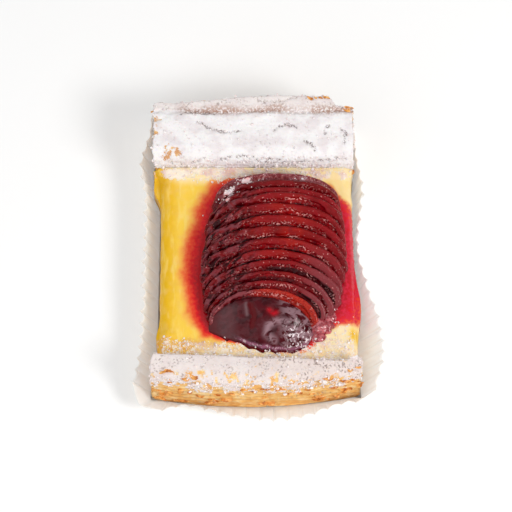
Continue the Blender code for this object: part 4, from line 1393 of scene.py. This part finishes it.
def build_flakes(settings):
    """Loose baked leaves that stand out from the crust at the front, the ends and the rear."""
    random = np.random.default_rng(FLAKE_SEED)
    spots, outward = scatter_spots(["front_border", "back_border"], "flaky", settings.flakes,
                                   random)
    outward = outward * (1, 1, 0) + 1e-6
    outward /= np.linalg.norm(outward, axis=-1, keepdims=True)
    spots = np.concatenate([spots, np.array(FLAKE_SPOTS)])
    outward = np.concatenate([outward, np.tile((0.6, 0.8, 0.0), (len(FLAKE_SPOTS), 1))])
    size = settings.flake_size / MM * np.exp(0.35 * random.standard_normal(len(spots)))
    size[-len(FLAKE_SPOTS):] *= 0.7
    points, faces = flake_shapes(spots + outward * 0.1, outward, size, random)
    points[:, 2] = np.maximum(points[:, 2], BASE)
    add_piece("pastry_flakes", points, faces, flake_finish(settings),
              smooth=False)


# lumps of set glaze beside the fruit: across, depth, radius across, radius in depth, height
GLAZE_SUNK = 0.3
GLAZE_LUMPS = (
    (25.6, -33.6, 5.6, 4.2, 2.1), (29.6, -29.0, 3.4, 3.6, 1.5), (24.6, -38.4, 3.6, 2.2, 1.0),
    (31.6, -25.4, 2.2, 2.6, 1.0),
)


def build_glaze(settings):
    """Lumps of jelly glaze: low domes, uneven at their edge and broken up on top by noise."""
    finish = glaze_finish(settings)
    angle = np.linspace(0, 2 * math.pi, 72, endpoint=False)[None, :]
    polar = np.linspace(0.03, math.pi / 2, 26)[:, None]
    sole = CREAM_TOP - GLAZE_SUNK
    for number, (across, depth, wide, deep, high) in enumerate(GLAZE_LUMPS, 1):
        x = across + wide * np.sin(polar) * np.cos(angle)
        y = depth + deep * np.sin(polar) * np.sin(angle)
        z = sole + (high + GLAZE_SUNK) * np.cos(polar) + 0 * angle
        rings = np.stack([x, y, z], axis=-1)
        uneven = 1.0 + 0.35 * rough(rings * (1, 1, 0), 2.6, 3, 141 + number)
        middle = np.array([across, depth, sole])
        rings = middle + (rings - middle) * uneven[..., None]
        rings[..., 2] = np.maximum(rings[..., 2] + 0.35 * rough(rings, 1.2, 2, 151),
                                   sole - GLAZE_SUNK)
        skin(f"glaze_lump_{number}", rings, finish)


# ---- paper case ------------------------------------------------------------------------------

def case_fold(samples):
    """Plan points and outward normals of the rounded fold, evenly spaced along it."""
    corners = (
        ((CASE_RIGHT_FRONT, CASE_FRONT), -90), ((CASE_RIGHT_BACK, CASE_BACK), 0),
        ((CASE_LEFT_BACK, CASE_BACK), 90), ((CASE_LEFT_FRONT, CASE_FRONT), 180),
    )
    path = []
    for (x, y), start in corners:
        center = np.array([x, y]) - np.copysign(CASE_CORNER, (x, y))
        turn = np.radians(start + np.linspace(0, 90, CORNER_POINTS))
        path.append(center + CASE_CORNER * np.stack([np.cos(turn), np.sin(turn)], axis=1))
    path = np.concatenate([*path, path[0][:1]])
    along = np.concatenate([[0.0], np.cumsum(np.linalg.norm(np.diff(path, axis=0), axis=1))])
    at = np.linspace(0, along[-1], samples, endpoint=False)
    plan = np.stack([np.interp(at, along, path[:, axis]) for axis in (0, 1)], axis=1)
    plan[:, 1] += (CASE_BOW * (plan[:, 0] / CASE_RIGHT_FRONT) ** 2
                   * ease((plan[:, 1] / CASE_FRONT - 0.5) * 2))
    tangent = np.roll(plan, -2, axis=0) - np.roll(plan, 2, axis=0)
    tangent /= np.linalg.norm(tangent, axis=1, keepdims=True)
    return plan, np.stack([tangent[:, 1], -tangent[:, 0]], axis=1)


def rim_values(plan):
    """Splay, rise and pleat share of the free edge, by direction, smoothed over 2 pleats."""
    direction = np.degrees(np.arctan2(plan[:, 1], plan[:, 0])) % 360
    rim = np.array(CASE_RIM)
    rim = np.vstack([rim[-1] - (360, 0, 0, 0), rim, rim[0] + (360, 0, 0, 0)])
    width = 2 * PLEAT_SAMPLES + 1
    values = []
    for column in (1, 2, 3):
        value = np.interp(direction, rim[:, 0], rim[:, column])
        around = np.concatenate([value[-width:], value, value[:width]])
        values.append(np.convolve(around, np.ones(width) / width, "same")[width:-width])
    return values


def case_hug(plan, outward):
    """How far the foot of the wall draws in to touch the pastry, on all four sides."""
    x, y = plan.T
    share = np.clip((x - BORDER_LEFT) / (BORDER_RIGHT_FRONT - BORDER_LEFT), 0, 1)
    beside = np.where(outward[:, 0] > 0, x - right_side(y), left_side(y) - x)
    behind = np.where(outward[:, 1] > 0, y - back_face(share), front_face(share) - y)
    sideways, endways = ease((np.abs(outward.T) - 0.5) / 0.4)
    return sideways * np.clip(beside - 0.4, 0.0, 3.4) + endways * np.clip(behind, 0.0, 4.0)


def build_case(settings):
    """The floor and the pleated wall of the case, as one thin closed sheet.

    Round the fold, a pleat is a hollow arc between two sharp outer tips: 1 less the root of a
    sine. The wall leans out by its splay and the pleat, more the higher it is, and hugs the
    pastry at its foot.
    """
    plan, outward = case_fold(PLEATS * PLEAT_SAMPLES)
    splay, rise, openness = rim_values(plan)
    part = np.tile(np.arange(PLEAT_SAMPLES) / PLEAT_SAMPLES, PLEATS)
    number = np.repeat(np.arange(PLEATS), PLEAT_SAMPLES)
    own = lattice(np.stack([number, number * 0, number * 0], axis=1), 5)
    hollow = np.sin(math.pi * part) ** 0.75
    pleat = PLEAT_DEPTH * openness * (1.0 - hollow) * (0.8 + 0.35 * own)
    # painted highlight on each pleat tip
    ridge = bell(np.minimum(part, 1 - part), 0.0, 0.06)
    # painted shade in a fold line beside each tip
    crease = 0.9 * openness * bell(part, 0.15, 0.07)
    rise = rise - 0.5 * hollow * openness
    sheet = settings.paper_thickness / MM
    heights = np.linspace(0.0, 1.0, CASE_ROWS)
    around = np.column_stack([plan, np.zeros(len(plan))])
    sag = rough(around, 16.0, 3, 161)
    hug = case_hug(plan, outward)
    wet = 0.10 + 0.25 * ease((-plan[:, 1] - 20.0) / 30.0) * ease((plan[:, 0] + 50.0) / 60.0)
    rings, pleat_highlights, shaded_valleys, soaked = [], [], [], []
    for inner, order in ((0.0, heights), (1.0, heights[::-1])):
        for height in order:
            crumple = 0.35 * rough(around + (0, 0, 9 * height), (5.0, 5.0, 4.0), 3, 163) * height
            push = splay * height + pleat * height ** 0.7 + crumple - inner * sheet
            push = push - hug * (1.0 - height) ** 1.3
            level = (rise + 0.5 * sag) * height + inner * sheet * (1.0 - height)
            rings.append(np.column_stack([plan + outward * push[:, None], level]))
            # painted highlight and painted shade, stronger up the wall
            pleat_highlights.append(ridge * height)
            shaded_valleys.append((0.3 * hollow ** 2 + crease) * height * (0.5 + 0.5 * own))
            soaked.append(wet * ease(1.2 - 1.3 * height) * (0.6 + 0.4 * sag))
    skin("paper_pleated", np.array(rings), paper_finish(settings), ["paper_case"], {
        "ridge": np.array(pleat_highlights), "valley": np.array(shaded_valleys),
        "soaked": np.clip(soaked, 0, 1)}, closed="flat")


# ---- stage -----------------------------------------------------------------------------------

LOOK_AT = np.array([0.40, -2.67, 18.0])        # the view's middle, from the drawing's origin
FLOOR_SIZE = 3.0
SENSOR_WIDTH = 36.0
# name, place in metres, side of the square, colour; the settings hold the powers
LIGHTS = (
    ("key", (0.62, -0.42, 0.66), 0.35, (1.0, 0.99, 0.97)),
    ("fill", (-0.62, -0.42, 0.66), 1.3, (1.0, 1.0, 1.0)),
    ("top", (0.0, 0.35, 1.05), 1.3, (1.0, 1.0, 1.0)),
)


def area_light(name, place, aim, power, size, shade):
    """A square soft light that points at a place."""
    light = bpy.data.lights.new(name, "AREA")
    light.energy, light.size, light.color = power, size, shade
    made = bpy.data.objects.new(name, light)
    made.location = place
    away = np.array(place) - aim
    made.rotation_euler = (math.atan2(math.hypot(away[0], away[1]), away[2]), 0.0,
                           math.atan2(away[0], -away[1]))
    bpy.context.scene.collection.objects.link(made)


def build_stage(settings):
    """A pale floor, soft light from three sides and all round, and the camera."""
    scene = bpy.context.scene
    bpy.ops.mesh.primitive_plane_add(size=FLOOR_SIZE, location=(0, 0, 0))
    floor = bpy.context.object
    floor.name = "floor"
    floor.data.materials.append(floor_finish(settings))
    aim = (LOOK_AT + ORIGIN) * MM
    for name, place, side, shade in LIGHTS:
        strength = getattr(settings, f"{name}_power")
        area_light(f"{name}_light", place, aim, strength, side, shade)
    scene.world = bpy.data.worlds.new("soft_room")
    scene.world.use_nodes = True
    room = scene.world.node_tree.nodes["Background"].inputs
    room["Color"].default_value = (1.0, 1.0, 1.0, 1.0)
    room["Strength"].default_value = settings.room_light
    camera = bpy.data.cameras.new("camera")
    camera.lens = settings.focal_length
    camera.sensor_width = SENSOR_WIDTH
    stand = bpy.data.objects.new("camera", camera)
    away = np.array([0.0, -math.cos(settings.elevation), math.sin(settings.elevation)])
    stand.location = aim + away * settings.distance
    stand.rotation_euler = (math.pi / 2 - settings.elevation, 0.0, 0.0)
    scene.collection.objects.link(stand)
    scene.camera = stand
    scene.view_settings.view_transform = "Standard"


# ---- settings --------------------------------------------------------------------------------

def color(name, description, red, green, blue):
    """A colour property; its default is given in the usual 0 to 255 of a screen."""
    return bpy.props.FloatVectorProperty(name=name, description=description, subtype="COLOR",
                                         min=0.0, max=1.0, default=linear(red, green, blue))


def size(name, description, default):
    """A length property, in metres."""
    return bpy.props.FloatProperty(name=name, description=description, default=default,
                                   unit="LENGTH", subtype="DISTANCE")


def power(name, description, default):
    """The power of a light, in watts."""
    return bpy.props.FloatProperty(name=name, description=description, default=default,
                                   min=0.0, unit="POWER")


def amount(name, description, default):
    """A number of like pieces."""
    return bpy.props.IntProperty(name=name, description=description, default=default, min=1)


class TART_PG_pastry(bpy.types.PropertyGroup):
    """Sizes and colours of the puff pastry and its sugar."""

    leaf_pitch: size("Leaf pitch", "Height of one coarse leaf of the crust", 0.0026)
    leaf_reach: size("Leaf reach", "How far a leaf juts out", 0.0011)
    butter: color("Butter", "Palest crust", 252, 226, 172)
    crust: color("Crust", "Golden crust", 242, 194, 116)
    browned: color("Browned", "Well baked crust", 226, 158, 76)
    # painted shade for the creases between the leaves
    crease: color("Crease", "Between the leaves", 190, 128, 62)
    sugar: color("Sugar", "Powdered sugar", 248, 246, 247)
    sugar_shade: color("Sugar shade", "Damp powdered sugar", 236, 229, 231)
    # painted shade inside the cracks of the sugar
    crack: color("Crack", "Crack in the sugar", 136, 124, 124)
    # dull sugar and flecks also stand behind the groove as painted shade on the rear leaf
    dull: color("Dull sugar", "Thin sugar that lets the crust through", 224, 206, 199)
    toasted: color("Toasted", "Bare spots among the sugar", 208, 152, 104)
    fleck: color("Fleck", "Speck in the sugar", 156, 138, 132)
    groove: color("Groove", "Groove in front of the rear leaf", 174, 136, 120)


class TART_PG_cream(bpy.types.PropertyGroup):
    """Colours of the pastry cream and of what has stained it."""

    edge: color("Edge", "Cream at the cut edge", 234, 184, 14)
    middle: color("Middle", "Cream in the open", 248, 206, 74)
    streak: color("Streak", "Paler streaks", 252, 224, 128)
    pale: color("Pale", "Cream under the sugar and on the right", 252, 232, 190)
    baked: color("Baked", "Browned cream along the front", 222, 158, 66)
    blush: color("Blush", "Last of the juice", 248, 176, 90)
    bleed: color("Bleed", "Juice in the cream", 230, 72, 36)
    juice: color("Juice", "Juice beside the fruit", 218, 10, 20)
    juice_dark: color("Dark juice", "Juice under the fruit", 172, 0, 18)
    rose: color("Rose", "Juice on the right, pinker", 214, 36, 64)
    dust: color("Dust", "Sugar on the cream", 247, 236, 220)
    dust_shade: color("Dust shade", "Damp sugar on the cream", 228, 194, 184)


class TART_PG_fruit(bpy.types.PropertyGroup):
    """Colours of the poached fruit."""

    black: color("Black", "Shadowed line above each rim", 34, 0, 4)
    # a dark tone of the wet flesh; on the end piece also painted shade along the lower edge
    crevice: color("Crevice", "Wet crease between slices", 84, 0, 8)
    wine: color("Wine", "Grain in the crease", 138, 0, 12)
    bright: color("Bright flesh", "Flesh that the juice has left clear", 182, 14, 10)
    # painted highlights: pink glints on the wet flesh; also the second tone of the sugar on the
    # fruit
    speck: color("Speck", "Crystals and beads of glaze", 242, 168, 164)
    rim: color("Rim", "Rim of a slice", 142, 12, 22)
    rim_dark: color("Rim, dark", "Darker rim", 98, 0, 5)
    # painted sheen on the wrinkled rims at the left
    rim_grey_sheen: color("Rim, grey", "Wrinkled grey rim", 118, 54, 62)
    rim_warm: color("Rim, warm", "Redder rim", 164, 24, 14)
    amber: color("Amber", "Orange flesh of the front slice", 178, 50, 34)
    # painted sheen on the broad rims
    mauve: color("Mauve", "Dull broad rims at the right and the rear end", 130, 58, 64)
    plum: color("Plum", "Glazed end piece", 76, 4, 16)
    plum_dark: color("Dark plum", "Darkest of the end piece", 54, 0, 8)
    notch: color("Notch", "Bare flesh in the end piece", 176, 6, 26)
    slate: color("Slate", "Grey sheen of the end piece", 108, 78, 82)
    lilac: color("Lilac", "Lower edge of the end piece", 150, 92, 116)
    # painted reflection on the end piece
    milky_reflection: color("Milky", "Clouded places of the glaze", 150, 116, 124)
    # sugar on the fruit; on the end piece it also paints white glints
    frost: color("Frost", "Sugar caught in the glaze", 244, 228, 232)


class TART_PG_toppings(bpy.types.PropertyGroup):
    """Amount, sizes and colours of sugar grains, flakes and glaze."""

    grains: amount("Grains", "Number of sugar clumps", 3600)
    grain_size: size("Grain size", "Middle size of a sugar clump", 0.00050)
    grain: color("Grain", "Sugar clump", 252, 247, 246)
    grain_shade: color("Grain shade", "Damp sugar clump", 232, 214, 212)
    flakes: amount("Flakes", "Number of loose leaves", 110)
    flake_size: size("Flake size", "Half the length of a loose leaf", 0.0016)
    flake_pale: color("Pale flake", "Palest leaf", 246, 196, 118)
    flake: color("Flake", "Baked leaf", 226, 150, 66)
    flake_dark: color("Dark flake", "Darkest leaf", 176, 96, 38)
    glaze: color("Glaze", "Jelly glaze", 146, 24, 42)
    glaze_pale: color("Pale glaze", "Thin jelly glaze", 196, 100, 108)


class TART_PG_case(bpy.types.PropertyGroup):
    """Sizes and colours of the paper case."""

    paper_thickness: size("Paper thickness", "Thickness of the pleated sheet", 0.0003)
    paper: color("Paper", "Greaseproof paper", 255, 252, 247)
    paper_shade: color("Paper shade", "Greaseproof paper, thinner places", 254, 247, 238)
    grease: color("Grease", "Where butter has soaked in", 254, 232, 206)
    # painted highlight on the pleat tips, and painted shade in their hollows
    ridge: color("Ridge", "Worn tip of a pleat", 254, 248, 240)
    valley: color("Valley", "Hollow of a pleat", 230, 208, 186)


class TART_PG_stage(bpy.types.PropertyGroup):
    """Camera, floor and lights."""

    elevation: bpy.props.FloatProperty(name="Elevation", description="Camera above the horizon",
                                       default=math.radians(65), subtype="ANGLE", unit="ROTATION")
    distance: size("Distance", "Camera from the middle of the slice", 1.3)
    focal_length: bpy.props.FloatProperty(name="Focal length", description="In millimetres",
                                          default=226.3, min=1.0)
    floor: color("Floor", "Pale floor", 254, 254, 254)
    key_power: power("Key light", "Power of the main light", 4.9)
    fill_power: power("Fill light", "Power of the left light", 4.0)
    top_power: power("Top light", "Power of the light above", 1.6)
    room_light: bpy.props.FloatProperty(name="Room light", description="Light from all round",
                                        default=0.48, min=0.0)


# ---- operators -------------------------------------------------------------------------------

class TART_OT_pastry(bpy.types.Operator):
    """Build the flaky sugared borders and the pastry floor."""

    bl_idname = "tart.pastry"
    bl_label = "Pastry"

    def execute(self, context):
        """Build from the scene's pastry settings."""
        build_pastry(context.scene.tart_pastry)
        return {"FINISHED"}


class TART_OT_cream(bpy.types.Operator):
    """Build the bed of pastry cream with its juice stains."""

    bl_idname = "tart.cream"
    bl_label = "Pastry cream"

    def execute(self, context):
        """Build from the scene's cream settings."""
        build_cream(context.scene.tart_cream)
        return {"FINISHED"}


class TART_OT_fruit(bpy.types.Operator):
    """Build the fanned slices of fruit and the glazed end piece."""

    bl_idname = "tart.fruit"
    bl_label = "Fanned fruit"

    def execute(self, context):
        """Build from the scene's fruit settings."""
        build_fruit(context.scene.tart_fruit)
        return {"FINISHED"}


class TART_OT_glaze(bpy.types.Operator):
    """Build the lumps of jelly glaze beside the fruit."""

    bl_idname = "tart.glaze"
    bl_label = "Glaze lumps"

    def execute(self, context):
        """Build from the scene's toppings settings."""
        build_glaze(context.scene.tart_toppings)
        return {"FINISHED"}


class TART_OT_flakes(bpy.types.Operator):
    """Scatter loose baked leaves on the crust."""

    bl_idname = "tart.flakes"
    bl_label = "Pastry flakes"

    def execute(self, context):
        """Build from the scene's toppings settings."""
        build_flakes(context.scene.tart_toppings)
        return {"FINISHED"}


class TART_OT_grains(bpy.types.Operator):
    """Scatter clumps of powdered sugar on pastry, cream and fruit."""

    bl_idname = "tart.grains"
    bl_label = "Sugar grains"

    def execute(self, context):
        """Build from the scene's toppings settings."""
        build_grains(context.scene.tart_toppings)
        return {"FINISHED"}


class TART_OT_case(bpy.types.Operator):
    """Build the pleated paper case."""

    bl_idname = "tart.case"
    bl_label = "Paper case"

    def execute(self, context):
        """Build from the scene's case settings."""
        build_case(context.scene.tart_case)
        return {"FINISHED"}


class TART_OT_stage(bpy.types.Operator):
    """Build the floor, the lights and the camera."""

    bl_idname = "tart.stage"
    bl_label = "Stage"

    def execute(self, context):
        """Build from the scene's stage settings."""
        build_stage(context.scene.tart_stage)
        return {"FINISHED"}


GROUPS = (("tart_pastry", TART_PG_pastry), ("tart_cream", TART_PG_cream),
          ("tart_fruit", TART_PG_fruit), ("tart_toppings", TART_PG_toppings),
          ("tart_case", TART_PG_case), ("tart_stage", TART_PG_stage))
OPERATORS = (TART_OT_pastry, TART_OT_cream, TART_OT_fruit, TART_OT_glaze, TART_OT_flakes,
             TART_OT_grains, TART_OT_case, TART_OT_stage)


class TART_PT_panel(bpy.types.Panel):
    """The steps of the slice, in order, in the 3D view's sidebar."""

    bl_idname = "TART_PT_panel"
    bl_label = "Fruit tart slice"
    bl_space_type = "VIEW_3D"
    bl_region_type = "UI"
    bl_category = "Tart"

    def draw(self, context):
        """One button for each operator."""
        for operator in OPERATORS:
            self.layout.operator(operator.bl_idname)


def register():
    """Register the settings, the operators and the panel."""
    for label, group in GROUPS:
        bpy.utils.register_class(group)
        setattr(bpy.types.Scene, label, bpy.props.PointerProperty(type=group))
    for made in (*OPERATORS, TART_PT_panel):
        bpy.utils.register_class(made)


def unregister():
    """Undo what register has done."""
    for made in (TART_PT_panel, *reversed(OPERATORS)):
        bpy.utils.unregister_class(made)
    for label, group in reversed(GROUPS):
        delattr(bpy.types.Scene, label)
        bpy.utils.unregister_class(group)


def main():
    """Build every piece in order."""
    register()
    for operator in OPERATORS:
        group, name = operator.bl_idname.split(".")
        getattr(getattr(bpy.ops, group), name)()


if __name__ == "__main__":
    main()
